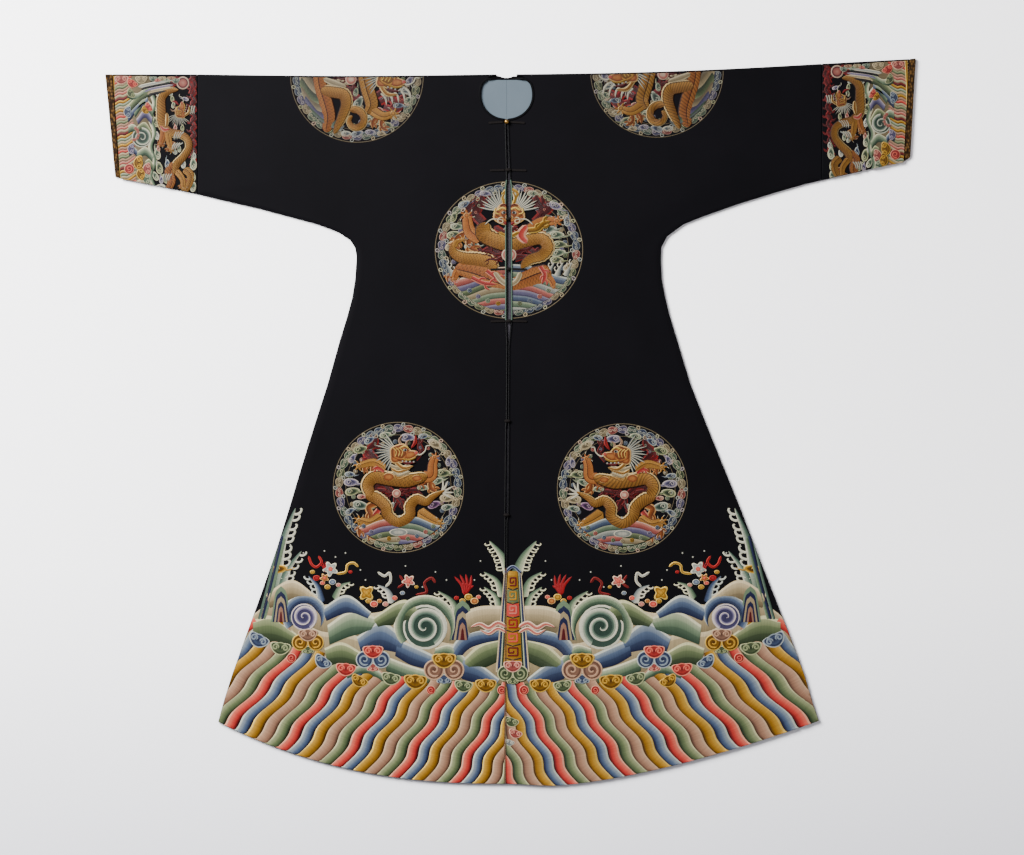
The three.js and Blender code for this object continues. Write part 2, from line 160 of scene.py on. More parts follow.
def curve(points, count):
    """Catmull-Rom line through a few points: 0.5 (2b + (c-a)f + (2a-5b+4c-d)f^2 + (3b-a-3c+d)f^3)."""
    p = np.asarray(points, float)
    p = np.vstack([2 * p[0] - p[1], p, 2 * p[-1] - p[-2]])
    t = np.linspace(0, len(points) - 1, count)
    i = np.minimum(t.astype(int), len(points) - 2)
    f = (t - i).reshape(-1, *([1] * (p.ndim - 1)))
    a, b, c, d = p[i], p[i + 1], p[i + 2], p[i + 3]
    return 0.5 * (2 * b + (c - a) * f + (2 * a - 5 * b + 4 * c - d) * f**2 + (3 * b - a - 3 * c + d) * f**3)


def down(column, row):
    """A section column at a row that may fall between two sections."""
    return np.interp(row, np.arange(HEM_ROW + 1), SECTIONS[column])


def neck_reach(height):
    """Half width of the neck hole: 51 (1 - d^p)^(1/p), d the share of its depth, p 2 below and 2.4 above."""
    above = height > NECK_Y
    depth = np.clip(np.abs(height - NECK_Y) / np.where(above, NECK_RISE, NECK_DROP), 0, 1)
    power = np.where(above, NECK_TOP_POWER, 2.0)
    return NECK_HALF_WIDTH * (1 - depth**power) ** (1 / power)


def centre_x(side, face, height):
    """x of a half's centre edge: the neck hole where it is wider than the opening, else middle + gap / 2."""
    table = OPENING if face == "front" else BACK_SEAM
    middle = np.interp(height, table["height"], table["middle"])
    half = np.interp(height, table["height"], table["gap"]) / 2
    if face == "front":
        neck = neck_reach(height)
    else:
        depth = np.clip((height - BACK_NECK_Y) / (SHOULDER_Y - BACK_NECK_Y), 0, 1)
        neck = BACK_NECK_HALF_WIDTH * np.sqrt(depth)
    sign = SIDE_SIGN[side]
    return np.where(neck > 0, NECK_X + sign * np.maximum(neck, half), middle + sign * half)


def hem_arc(side, u):
    """Height of the hem above its lowest line: t^power rise - dip, t from where the hem stops being flat."""
    arc = HEM_ARC[side]
    rise = SECTIONS[side + "_y"][HEM_ROW] - SECTIONS["front"][HEM_ROW] + arc["dip"]
    early = smooth(u, 0, arc["flat_to"]) if arc["flat_to"] > 0 else 1.0
    share = np.clip((u - arc["flat_to"]) / (1 - arc["flat_to"]), 0, None)
    return share ** arc["power"] * rise - arc["dip"] * early


def half_plan(side, face, u, row):
    """Plan of a half: straight from centre edge to outer edge, bowed by the fold's sag and the hem's arc."""
    height = down(face, row)
    side_x, side_y = down(side + "_x", row), down(side + "_y", row)
    bow = -FOLD_SAG[side] * np.sin(np.pi * u) * (1 - smooth(row, 0, SLEEVE_ROW))
    rise = SECTIONS[side + "_y"][HEM_ROW] - SECTIONS["front"][HEM_ROW]
    bow = bow + (hem_arc(side, u) - rise * u) * smooth(row, UNDERARM_ROW, HEM_ROW)
    inner = centre_x(side, face, height)
    return inner + (side_x - inner) * u, height + (side_y - height) * u + bow


CREASE = {"from": (4.0, 2.0), "to": (212.0, 19.0), "depth": 0.7, "half_width": 2.4}
CREASE_LIP = {"share": 0.5, "off": 7, "half_width": 5}
CREASE_FADES = (25, 60)


def crease(x, y):
    """Shallow groove across the left half: -depth exp(-(d / w)^2) along a straight line, with a soft lip."""
    (x0, y0), (x1, y1) = CREASE["from"], CREASE["to"]
    length = math.hypot(x1 - x0, y1 - y0)
    along = ((x - x0) * (x1 - x0) + (y - y0) * (y1 - y0)) / length
    off = ((y - y0) * (x1 - x0) - (x - x0) * (y1 - y0)) / length
    window = smooth(along, 0, CREASE_FADES[0]) * (1 - smooth(along, length - CREASE_FADES[1], length))
    groove = np.exp(-((off / CREASE["half_width"]) ** 2))
    lip = CREASE_LIP["share"] * np.exp(-(((off - CREASE_LIP["off"]) / CREASE_LIP["half_width"]) ** 2))
    return CREASE["depth"] * window * (lip - groove)


def half_lift(u, row, x, y):
    """Rise of the front: swells 0.6 + 0.25 sin(x/70 + y/160) + 0.15 cos(y/55 - x/210), none at the edges."""
    inside = smooth(u, 0.13, 0.35) * (1 - smooth(u, 0.72, 0.975))
    below = smooth(row, 0, SLEEVE_ROW) * (1 - smooth(row, HEM_ROW - 2, HEM_ROW))
    swell = 0.6 + 0.25 * np.sin(x / 70 + y / 160) + 0.15 * np.cos(y / 55 - x / 210)
    dip = np.where(row >= SLEEVE_ROW, SIDE_DIP * smooth(u, 0.975, 1), 0)
    return PUFF * inside * below * swell - dip + crease(x, y)


def round_off(distance):
    """Drop of a rounded edge: r - sqrt(r^2 - (r - d)^2) for distances d under the radius r."""
    short = EDGE_ROUND - np.clip(distance, 0, EDGE_ROUND)
    return EDGE_ROUND - np.sqrt(EDGE_ROUND**2 - short**2)


# ---------------------------------------------------------------- height of the cloth, as a table to look up


RASTER_STEP = 3.0
RASTER_X = np.arange(-813, 816, RASTER_STEP)
RASTER_Y = np.arange(-732, 735, RASTER_STEP)


def height_raster(side):
    """Height of a half's face over a square grid, each place's row found by halving the interval."""
    x, y = np.meshgrid(RASTER_X, RASTER_Y)
    low, high = np.zeros_like(x), np.full_like(x, float(HEM_ROW))
    u = np.zeros_like(x)
    for _ in range(14):
        row = (low + high) / 2
        inner = centre_x(side, "front", down("front", row))
        u = np.clip((x - inner) / (down(side + "_x", row) - inner), 0, 1)
        is_above = half_plan(side, "front", u, row)[1] > y
        low, high = np.where(is_above, row, low), np.where(is_above, high, row)
    return FRONT_FACE + half_lift(u, (low + high) / 2, x, y)


RASTERS = {side: height_raster(side) for side in SIDE_SIGN}


def cloth_height(side, x, y):
    """Height of a half's face at any place, straight between the four places round it in the table."""
    table = RASTERS[side]
    fx = np.clip((x - RASTER_X[0]) / RASTER_STEP, 0, len(RASTER_X) - 1.001)
    fy = np.clip((y - RASTER_Y[0]) / RASTER_STEP, 0, len(RASTER_Y) - 1.001)
    i, j = fx.astype(int), fy.astype(int)
    fx, fy = fx - i, fy - j
    near = table[j, i] * (1 - fx) + table[j, i + 1] * fx
    far = table[j + 1, i] * (1 - fx) + table[j + 1, i + 1] * fx
    return near * (1 - fy) + far * fy


# ---------------------------------------------------------------- meshes from grids


def grid_faces(rows, columns):
    """Four-cornered faces of a grid of points counted row by row."""
    i = np.arange(rows * columns).reshape(rows, columns)
    return np.stack([i[:-1, :-1], i[1:, :-1], i[1:, 1:], i[:-1, 1:]], -1).reshape(-1, 4)


def wall_faces(rows, columns):
    """Faces of a closed wall between an upper grid and a lower grid of the same size, edges closed."""
    i = np.arange(rows * columns).reshape(rows, columns)
    count = rows * columns
    upper = grid_faces(rows, columns)
    edge = np.concatenate([i[:, 0], i[-1, 1:], i[-2::-1, -1], i[0, -2::-1]])
    ahead = edge[1:]
    here = edge[:-1]
    rim = np.stack([here, here + count, ahead + count, ahead], -1)
    return np.vstack([upper, upper[:, ::-1] + count, rim])


def signed_volume(points, faces):
    """Sum of a . (b x c) over the faces' two triangles."""
    a, b, c, d = (points[faces[:, k]] for k in range(4))
    return float(np.einsum("ij,ij->", a, np.cross(b, c)) + np.einsum("ij,ij->", a, np.cross(c, d)))


def make_piece(name, points, faces, material, nodes=()):
    """A mesh in its place, smooth-shaded, riding on the coat, with its finish; the solids it stands for are
    hidden.
    """
    mesh = bpy.data.meshes.new(name)
    mesh.from_pydata((np.asarray(points) * MM).tolist(), [], faces.tolist())
    mesh.polygons.foreach_set("use_smooth", np.ones(len(mesh.polygons), bool))
    mesh.materials.append(material)
    piece = bpy.data.objects.new(name, mesh)
    bpy.context.scene.collection.objects.link(piece)
    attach(piece, "root")
    if nodes:
        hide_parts(*nodes)
    return piece


def wall_piece(name, upper, lower, material, nodes=()):
    """A closed wall between two grids of points, its faces pointing out."""
    rows, columns = upper.shape[:2]
    points = np.vstack([upper.reshape(-1, 3), lower.reshape(-1, 3)])
    faces = wall_faces(rows, columns)
    if signed_volume(points, faces) < 0:
        faces = faces[:, ::-1]
    return make_piece(name, points, faces, material, nodes)


# ---------------------------------------------------------------- materials


def linear(red, green, blue):
    """Linear colour of a colour given from 0 to 255: ((c + 0.055) / 1.055)^2.4, or c / 12.92 when dark."""
    c = np.array([red, green, blue], float) / 255
    return np.where(c <= 0.04045, c / 12.92, ((c + 0.055) / 1.055) ** 2.4)


def rgba(red, green, blue):
    """The same with full opacity, for a node's socket."""
    return (*linear(red, green, blue), 1.0)


class Nodes:
    """Short way to add nodes to a tree: values are set on sockets, and sockets are linked."""

    def __init__(self, tree):
        self.tree = tree

    def add(self, kind, values=None, **settings):
        node = self.tree.nodes.new(kind)
        for key, value in settings.items():
            setattr(node, key, value)
        for key, value in (values or {}).items():
            if isinstance(value, bpy.types.NodeSocket):
                self.tree.links.new(value, node.inputs[key])
            else:
                node.inputs[key].default_value = value
        return node

    def maths(self, operation, *values):
        return self.add("ShaderNodeMath", dict(enumerate(values)), operation=operation).outputs[0]

    def vectors(self, operation, *values):
        return self.add("ShaderNodeVectorMath", dict(enumerate(values)), operation=operation).outputs[0]

    def mix(self, share, first, second):
        """A colour between two colours; 6 and 7 are the colour sockets of the Mix node, 2 its result."""
        return self.add("ShaderNodeMix", {0: share, 6: first, 7: second}, data_type="RGBA").outputs[2]


def new_group(name, inputs, outputs):
    """A shader node group with named sockets: (name, kind, default value) going in, (name, kind) out."""
    tree = bpy.data.node_groups.new(name, "ShaderNodeTree")
    for label, kind, value in inputs:
        socket = tree.interface.new_socket(label, in_out="INPUT", socket_type=kind)
        if value is not None:
            socket.default_value = value
    for label, kind in outputs:
        tree.interface.new_socket(label, in_out="OUTPUT", socket_type=kind)
    n = Nodes(tree)
    return tree, n, n.add("NodeGroupInput").outputs, n.add("NodeGroupOutput").inputs


def satin_weave_group():
    """Height of a satin weave, long floats one way and faint ribs the other, and slow changes of shade."""
    tree, n, given, result = new_group(
        "satin weave",
        [
            ("Place", "NodeSocketVector", None),
            ("Threads per metre", "NodeSocketFloat", 900.0),
            ("Unevenness", "NodeSocketFloat", 0.3),
        ],
        [("Height", "NodeSocketFloat"), ("Shade", "NodeSocketFloat")],
    )
    scaled = n.vectors("SCALE", given["Place"])
    n.tree.links.new(given["Threads per metre"], scaled.node.inputs["Scale"])
    long_float = n.add("ShaderNodeMapping", {"Vector": scaled, "Scale": (1.0, 0.18, 1.0)}).outputs[0]
    floats = n.add("ShaderNodeTexNoise", {"Vector": long_float, "Scale": 1.0, "Detail": 2.0}).outputs[0]
    cross = n.add("ShaderNodeMapping", {"Vector": scaled, "Scale": (0.05, 1.0, 1.0)}).outputs[0]
    ribs = n.add("ShaderNodeTexNoise", {"Vector": cross, "Scale": 0.6, "Detail": 1.0}).outputs[0]
    height = n.maths("MULTIPLY_ADD", floats, 0.7, n.maths("MULTIPLY", ribs, given["Unevenness"]))
    drift = n.add(
        "ShaderNodeTexNoise", {"Vector": given["Place"], "Scale": 5.0, "Detail": 4.0, "Roughness": 0.6}
    )
    n.tree.links.new(height, result["Height"])
    n.tree.links.new(drift.outputs[0], result["Shade"])
    return tree


def satin_stitch_group():
    """Height and shade of satin stitches side by side: a round crest for each thread, a little uneven."""
    tree, n, given, result = new_group(
        "satin stitch",
        [
            ("Along", "NodeSocketVector", None),
            ("Stitch width mm", "NodeSocketFloat", 0.9),
            ("Unevenness", "NodeSocketFloat", 0.4),
        ],
        [("Height", "NodeSocketFloat"), ("Shade", "NodeSocketFloat")],
    )
    parts = n.add("ShaderNodeSeparateXYZ", {"Vector": given["Along"]}).outputs
    wander = n.add("ShaderNodeTexNoise", {"Vector": given["Along"], "Scale": 0.35, "Detail": 2.0}).outputs[0]
    offset = n.maths("MULTIPLY", wander, given["Unevenness"])
    turns = n.maths("ADD", n.maths("DIVIDE", parts["X"], given["Stitch width mm"]), offset)
    crest = n.maths("ABSOLUTE", n.maths("SINE", n.maths("MULTIPLY", turns, math.pi)))
    number = n.maths("FLOOR", turns)
    thread = n.add("ShaderNodeTexWhiteNoise", {"W": number}, noise_dimensions="1D").outputs[0]
    n.tree.links.new(crest, result["Height"])
    n.tree.links.new(thread, result["Shade"])
    return tree


def cord_twist_group():
    """Height of a twisted cord or a knot: slanted strands round each place, sin(k (x + y + z))."""
    tree, n, given, result = new_group(
        "cord twist",
        [("Place", "NodeSocketVector", None), ("Strands per metre", "NodeSocketFloat", 700.0)],
        [("Height", "NodeSocketFloat")],
    )
    parts = n.add("ShaderNodeSeparateXYZ", {"Vector": given["Place"]}).outputs
    total = n.maths("ADD", n.maths("ADD", parts["X"], parts["Y"]), parts["Z"])
    pace = n.maths("MULTIPLY", given["Strands per metre"], 2 * math.pi)
    strand = n.maths("SINE", n.maths("MULTIPLY", total, pace))
    n.tree.links.new(n.maths("ABSOLUTE", strand), result["Height"])
    return tree


WEAVE = satin_weave_group()
STITCH = satin_stitch_group()
TWIST = cord_twist_group()


def new_material(name):
    """A material with its node adder, its Principled shader and the piece's own coordinates."""
    material = bpy.data.materials.new(name)
    material.use_nodes = True
    n = Nodes(material.node_tree)
    shader = material.node_tree.nodes["Principled BSDF"]
    place = n.add("ShaderNodeTexCoord").outputs["Object"]
    return material, n, shader, place


def bumped(n, shader, height, strength, distance):
    """Lets a height disturb the shader's normal."""
    bump = n.add("ShaderNodeBump", {"Height": height, "Strength": strength, "Distance": distance})
    n.tree.links.new(bump.outputs[0], shader.inputs["Normal"])


def cloth_material(name, dark, light, roughness, gloss, threads, bump):
    """Woven silk: colour drifts between two shades, roughness with it, weave as a bump."""
    material, n, shader, place = new_material(name)
    weave = n.add("ShaderNodeGroup", node_tree=WEAVE, values={"Place": place, "Threads per metre": threads})
    colour = n.mix(weave.outputs["Shade"], rgba(*dark), rgba(*light))
    n.tree.links.new(colour, shader.inputs["Base Color"])
    rough = n.maths("MULTIPLY_ADD", weave.outputs["Height"], 0.12, roughness - 0.06)
    n.tree.links.new(rough, shader.inputs["Roughness"])
    shader.inputs["Specular IOR Level"].default_value = gloss
    bumped(n, shader, weave.outputs["Height"], 0.35, bump)
    return material


def embroidery_material():
    """Floss silk and couched gold: colour from the thread attribute, stitches as a bump and small changes,
    valleys in painted shade.
    """
    material, n, shader, _ = new_material("embroidery threads")
    thread = n.add("ShaderNodeAttribute", attribute_name="thread").outputs["Color"]
    gold = n.add("ShaderNodeAttribute", attribute_name="gold").outputs["Fac"]
    along = n.add("ShaderNodeUVMap", uv_map="stitch").outputs[0]
    stitch = n.add("ShaderNodeGroup", node_tree=STITCH, values={"Along": along})
    shade = n.maths("MULTIPLY_ADD", stitch.outputs["Shade"], 0.2, 0.82)
    # Painted shade: the colour is darker in the valleys between the stitches' crests
    painted_valley_shade = n.maths("MULTIPLY_ADD", stitch.outputs["Height"], 0.2, 0.82)
    value = n.maths("MULTIPLY", shade, painted_valley_shade)
    colour = n.vectors("SCALE", thread)
    n.tree.links.new(value, colour.node.inputs["Scale"])
    n.tree.links.new(colour, shader.inputs["Base Color"])
    n.tree.links.new(n.maths("MULTIPLY", gold, 0.45), shader.inputs["Metallic"])
    shader.inputs["Roughness"].default_value = 0.5
    shader.inputs["Specular IOR Level"].default_value = 0.1
    bumped(n, shader, stitch.outputs["Height"], 0.4, 0.0003)
    return material


def lining_material():
    """Plain pale blue silk, with painted shade that makes it darker and greyer below the neck, where it only
    shows down the opening.
    """
    material = cloth_material("pale blue lining", (58, 67, 74), (71, 80, 87), 0.5, 0.05, 700.0, 0.0003)
    n = Nodes(material.node_tree)
    shader = material.node_tree.nodes["Principled BSDF"]
    place = n.add("ShaderNodeTexCoord").outputs["Object"]
    height = n.add("ShaderNodeSeparateXYZ", {"Vector": place}).outputs["Y"]
    # Painted shade: below the neck the lining's colour goes over to a dark grey, for the shadow down the
    # opening
    depth = n.add("ShaderNodeMapRange", {"Value": height, "From Min": 0.605, "From Max": 0.585}).outputs[0]
    pale = shader.inputs["Base Color"].links[0].from_socket
    n.tree.links.new(n.mix(depth, pale, rgba(48, 46, 51)), shader.inputs["Base Color"])
    return material


def cord_material():
    """Dull black silk cord: its twist as a bump, and painted shade that keeps its valleys darker than its
    crests.
    """
    material, n, shader, place = new_material("dark silk cord")
    twist = n.add("ShaderNodeGroup", node_tree=TWIST, values={"Place": place})
    # Painted shade: the colour follows the twist, dark in its valleys and lighter on its crests
    colour = n.mix(twist.outputs[0], rgba(5, 4, 5), rgba(18, 15, 14))
    n.tree.links.new(colour, shader.inputs["Base Color"])
    shader.inputs["Roughness"].default_value = 0.7
    shader.inputs["Specular IOR Level"].default_value = 0.06
    bumped(n, shader, twist.outputs[0], 0.6, 0.0006)
    return material


def gilt_material():
    """Gilt brass worn unevenly: bright and dull places, smoother where it is bright."""
    material, n, shader, place = new_material("gilt brass")
    worn = n.add("ShaderNodeTexNoise", {"Vector": place, "Scale": 300.0, "Detail": 3.0}).outputs[0]
    colour = n.mix(worn, rgba(110, 76, 32), rgba(180, 140, 72))
    n.tree.links.new(colour, shader.inputs["Base Color"])
    n.tree.links.new(n.maths("MULTIPLY_ADD", worn, 0.2, 0.2), shader.inputs["Roughness"])
    shader.inputs["Metallic"].default_value = 1.0
    return material


def brocade_material():
    """Patterned edging: gold leaf shapes on dark brown, cells of a Voronoi pattern drawn out along it."""
    material, n, shader, place = new_material("edging brocade")
    drawn = n.add("ShaderNodeMapping", {"Vector": place, "Scale": (210.0, 150.0, 210.0)}).outputs[0]
    cells = n.add("ShaderNodeTexVoronoi", {"Vector": drawn, "Scale": 1.0, "Randomness": 0.7})
    leaf = cells.outputs["Distance"]
    figure = n.add("ShaderNodeValToRGB", {"Fac": leaf})
    ramp = figure.color_ramp
    ramp.elements[0].position, ramp.elements[0].color = 0.2, rgba(70, 49, 23)
    ramp.elements[1].position, ramp.elements[1].color = 0.65, rgba(18, 11, 6)
    middle = ramp.elements.new(0.42)
    middle.color = rgba(40, 27, 12)
    n.tree.links.new(figure.outputs[0], shader.inputs["Base Color"])
    shader.inputs["Roughness"].default_value = 0.6
    shader.inputs["Specular IOR Level"].default_value = 0.02
    weave = n.add("ShaderNodeGroup", node_tree=WEAVE, values={"Place": place, "Threads per metre": 700.0})
    height = n.maths("MULTIPLY_ADD", leaf, -0.8, weave.outputs["Height"])
    bumped(n, shader, height, 0.4, 0.0005)
    return material


SILK = cloth_material("navy black satin", (4, 4, 5), (8, 7, 10), 0.55, 0.02, 900.0, 0.0002)
BINDING_SILK = cloth_material("black binding silk", (3, 3, 4), (6, 6, 7), 0.6, 0.02, 900.0, 0.0003)
BAND_GROUND = cloth_material("cuff ground silk", (4, 4, 5), (7, 7, 9), 0.6, 0.02, 900.0, 0.0002)
LINING = lining_material()
CORD = cord_material()
GILT = gilt_material()
BROCADE = brocade_material()
EMBROIDERY = embroidery_material()


# ---------------------------------------------------------------- the cloth


def spaced_columns(width):
    """Shares across a row of that width: close together over the rounded edges, even between them."""
    last_steps = 2 * EDGE_REACH - EDGE_STEPS[::-1]
    offset = np.concatenate([EDGE_STEPS, np.full(INNER_STEPS, EDGE_REACH), last_steps])
    share = np.concatenate([0 * EDGE_STEPS, np.linspace(0, 1, INNER_STEPS), 0 * EDGE_STEPS + 1])
    return (offset + share * (width[:, None] - 2 * EDGE_REACH)) / width[:, None]


def folded_wall(place, lift, rows, front_wall, to_width, hem_depth):
    """A wall down the front, round a half circle of fold and down the back, as an upper and a lower grid."""
    outer_radius = (FRONT_REST + front_wall) / 2
    inner_radius = (FRONT_REST - BACK_WALL) / 2
    upper, lower = [], []
    for face, order in (("front", rows[::-1]), ("back", rows)):
        span = to_width(face, order)
        u = spaced_columns(span)
        row = order[:, None] * np.ones_like(u)
        x, y = place(face, u, row)
        fold_y = place(face, u, np.zeros_like(u))[1] - outer_radius
        y = np.minimum(y, fold_y)
        edge = np.minimum(u, 1 - u) * span[:, None]
        if face == "front":
            rise = lift(u, row, x, y)
            drop = np.maximum(round_off(edge), round_off((rows[-1] - row) * hem_depth))
            upper.append(np.stack([x, y, FRONT_REST + front_wall + rise - drop], -1))
            lower.append(np.stack([x, y, FRONT_REST + rise], -1))
            top = to_width("front", np.zeros(1))
            u_fold = spaced_columns(top)
            zero = np.zeros_like(u_fold)
            front_x, front_y = place("front", u_fold, zero)
            back_x = place("back", u_fold, zero)[0]
            step = np.linspace(0, 1, FOLD_STEPS)[1:-1, None]
            angle = np.pi * step
            x = front_x + (back_x - front_x) * step
            start = front_y - outer_radius
            radius = outer_radius - round_off(np.minimum(u_fold, 1 - u_fold) * top[:, None])
            outer_z = outer_radius + radius * np.cos(angle)
            upper.append(np.stack([x, start + radius * np.sin(angle), outer_z], -1))
            inner_z = BACK_WALL + inner_radius * (1 + np.cos(angle)) * np.ones_like(x)
            lower.append(np.stack([x, start + inner_radius * np.sin(angle), inner_z], -1))
        else:
            upper.append(np.stack([x, y, np.zeros_like(x)], -1))
            lower.append(np.stack([x, y, np.full_like(x, BACK_WALL)], -1))
    return np.vstack(upper), np.vstack(lower)


HALF_ROW_COUNT, STRIP_ROW_COUNT = 190, 40


def build_half(side):
    """One half of the coat: front, shoulder fold and back in one closed wall."""
    close = HEM_ROW - EDGE_STEPS[::-1] / HEM_ROW_DEPTH
    rows = np.concatenate([np.linspace(0, HEM_ROW - EDGE_REACH / HEM_ROW_DEPTH, HALF_ROW_COUNT), close])

    def to_width(face, order):
        return np.abs(down(side + "_x", order) - centre_x(side, face, down(face, order)))

    upper, lower = folded_wall(
        lambda face, u, row: half_plan(side, face, u, row),
        half_lift,
        rows,
        FRONT_WALL,
        to_width,
        HEM_ROW_DEPTH,
    )
    return wall_piece(f"{side}_half_silk", upper, lower, SILK, [f"{side}_half"])


def strip_plan(corners, u, v):
    """Place on a four-cornered strip, straight between its corners both ways."""
    x, y = (
        (corners["top_in"][k] * (1 - u) + corners["top_out"][k] * u) * (1 - v)
        + (corners["bottom_in"][k] * (1 - u) + corners["bottom_out"][k] * u) * v
        for k in (0, 1)
    )
    return x, y


def build_strip(name, corners, front_wall, material, node):
    """A cuff band or its edging: down the front, round the fold and down the back."""
    close = 1 - EDGE_STEPS[::-1] / STRIP_DROP
    rows = np.concatenate([np.linspace(0, 1 - EDGE_REACH / STRIP_DROP, STRIP_ROW_COUNT), close])

    def to_width(face, order):
        top = abs(corners["top_out"][0] - corners["top_in"][0])
        bottom = abs(corners["bottom_out"][0] - corners["bottom_in"][0])
        return top + (bottom - top) * order

    upper, lower = folded_wall(
        lambda face, u, v: strip_plan(corners, u, v),
        lambda u, v, x, y: -SIDE_DIP * smooth(v, 0.93, 1),
        rows,
        front_wall,
        to_width,
        STRIP_DROP,
    )
    return wall_piece(name, upper, lower, material, [node])


HALVES = {side: build_half(side) for side in SIDE_SIGN}
BANDS = {
    side: build_strip(
        f"{side}_cuff_band_silk", CUFF_BANDS[side], FRONT_WALL, BAND_GROUND, f"{side}_cuff_band"
    )
    for side in SIDE_SIGN
}
EDGINGS = {
    side: build_strip(
        f"{side}_cuff_edging_brocade",
        CUFF_EDGINGS[side],
        EDGING_WALL,
        BROCADE,
        f"{side}_cuff_edging",
    )
    for side in SIDE_SIGN
}

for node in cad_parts.values():
    if node.hide_render:
        continue
    if "lining" in node.name:
        finish = LINING
    elif "binding" in node.name:
        finish = BINDING_SILK
    elif node.name == "button_1":
        finish = GILT
    else:
        finish = CORD
    node.data.materials.clear()
    node.data.materials.append(finish)

# ---------------------------------------------------------------- embroidery: threads and how they are laid


# Stitches rise by layers over the cloth. The edges of a shape sink into it, so no gap shows under them
LAYER, SINK, LIFT = 0.14, -0.12, 0.05
LEAST_AREA = 0.01
NARROW_BAND, ROUND_STEPS = 0.3, 21

# Shades from the outline to the darkest silk: outline, pale, middle, dark
PALETTE_ROWS = {
    "blue": ((198, 208, 208), (146, 162, 180), (86, 106, 142), (30, 40, 78)),
    "lavender": ((206, 202, 210), (168, 164, 188), (114, 112, 154), (60, 60, 100)),
    "green": ((206, 210, 178), (156, 168, 136), (102, 120, 90), (40, 58, 38)),
    "sea": ((214, 218, 198), (178, 190, 170), (122, 146, 126), (52, 78, 66)),
    "grey": ((204, 210, 202), (164, 178, 168), (100, 126, 118), (42, 68, 62)),
    "gold": ((230, 206, 124), (206, 170, 74), (168, 128, 36), (82, 58, 14)),
    "red": ((230, 182, 164), (222, 124, 110), (196, 70, 66), (112, 20, 28)),
    "pink": ((230, 208, 194), (214, 158, 148), (184, 106, 100), (116, 44, 52)),
    "mauve": ((206, 184, 162), (190, 160, 140), (160, 128, 112), (90, 66, 56)),
    "flame": ((156, 50, 44), (132, 32, 36), (94, 16, 24), (46, 8, 14)),
    "orange": ((232, 200, 146), (204, 146, 84), (166, 100, 50), (88, 42, 20)),
    "ochre": ((238, 216, 166), (208, 164, 90), (164, 120, 56), (84, 54, 24)),
    "bone": ((222, 224, 214), (204, 208, 204), (160, 170, 172), (88, 102, 114)),
    "cream": ((216, 208, 182), (200, 190, 164), (168, 158, 132), (110, 102, 82)),
    "coral": ((200, 64, 56), (176, 34, 42), (130, 18, 30), (74, 8, 18)),
    "purple": ((194, 172, 198), (146, 106, 156), (102, 62, 120), (52, 28, 70)),
    "ink": ((36, 34, 42), (24, 24, 34), (16, 16, 26), (10, 10, 16)),
    "navy": ((140, 154, 180), (64, 80, 126), (32, 42, 88), (14, 20, 48)),
}
# Old silk: its shades deepened and warmed
AGE_POWER, AGE_TINT = 1.2, np.array([0.92, 0.83, 0.7])
PALETTES = {
    name: AGE_TINT * np.array([linear(*shade) for shade in rows]) ** AGE_POWER
    for name, rows in PALETTE_ROWS.items()
}
GOLDEN = {"gold": 0.8, "ochre": 0.7, "orange": 0.4}

# How deep the silks of each part are: roundels and cuffs, in couched gold, are duller than the border
HEM_TONE, SKIRT_TONE, CHEST_TONE, SHOULDER_TONE, CUFF_TONE = 0.54, 0.31, 0.28, 0.19, 0.34
RING_TONE, CUFF_DRAGON_TONE = 0.87, 0.6

# How shades run across a shape, from one edge (0) to the other (1): start, end, depths there; -1 is outline
SHADED = ((0, 0.15, -1, -1), (0.15, 0.5, 0, 0.35), (0.5, 1, 0.45, 1))
SHADED_BACK = tuple((1 - end, 1 - start, last, first) for start, end, first, last in SHADED)
ROLLED = ((0, 0.13, -1, -1), (0.13, 0.36, 0.0, 0.35), (0.36, 0.64, 0.45, 0.75), (0.64, 1, 0.85, 1))
OUTLINED = ((0, 0.24, -1, -1), (0.24, 0.76, 0.2, 0.7), (0.76, 1, -1, -1))
PLAIN = ((0, 1, 0.1, 0.5),)
LINE = ((0, 1, -1, -1),)
TINTED = ((0, 1, 0, 0.15),)
HALVED = ((0, 0.5, -1, -1), (0.5, 1, 0.7, 1))
FIERY = ((0, 0.2, -1, 0), (0.2, 0.8, 0.4, 0.9), (0.8, 1, -1, 0))
SPINED = (
    (0, 0.1, -1, -1), (0.1, 0.16, 1, 1), (0.16, 0.52, 0.05, 0.3), (0.52, 0.93, 0.35, 0.55), (0.93, 1, 1, 1),
)
BELLIED = (
    (0, 0.07, 1, 1), (0.07, 0.56, 0.1, 0.4), (0.56, 0.62, 1, 1), (0.62, 0.94, 0.0, 0.3), (0.94, 1, 1, 1),
)
# The same for rings, from the outline (1) to the centre (0)
RINGS = ((1, 0.8, -1, -1), (0.8, 0.45, 0.7, 0.4), (0.45, 0, 0.2, 0))
DEEP_RINGS = ((1, 0.93, -1, -1), (0.93, 0.84, 0, 0.2), (0.84, 0.6, 1, 0.8), (0.6, 0, 0.7, 1))
DARK_RINGS = ((1, 0.9, -1, 0), (0.9, 0, 0.7, 1))
LEAF_RINGS = ((1, 0.8, -1, -1), (0.8, 0.5, 0.1, 0.6), (0.5, 0, 0.9, 1))
FLAT_RINGS = ((1, 0.9, 0.6, 0.4), (0.9, 0, 0.3, 0))
PEARL_RINGS = ((1, 0.82, -1, -1), (0.82, 0.5, 0.5, 0.1), (0.5, 0, 0, -1))
MOTTLED_RINGS = ((1, 0.86, -1, 0), (0.86, 0.62, 0.9, 0.5), (0.62, 0.5, 0, 0.2), (0.5, 0, 0.8, 0.45))


def shade(palette, depth):
    """Colour of a palette at depths: the outline below 0, else from pale (0) through middle to dark (1)."""
    rows = PALETTES[palette]
    depth = np.asarray(depth, float)
    mixed = np.stack([np.interp(depth, (0, 0.5, 1), rows[1:, k]) for k in range(3)], -1)
    return np.where(depth[..., None] < 0, rows[0], mixed)


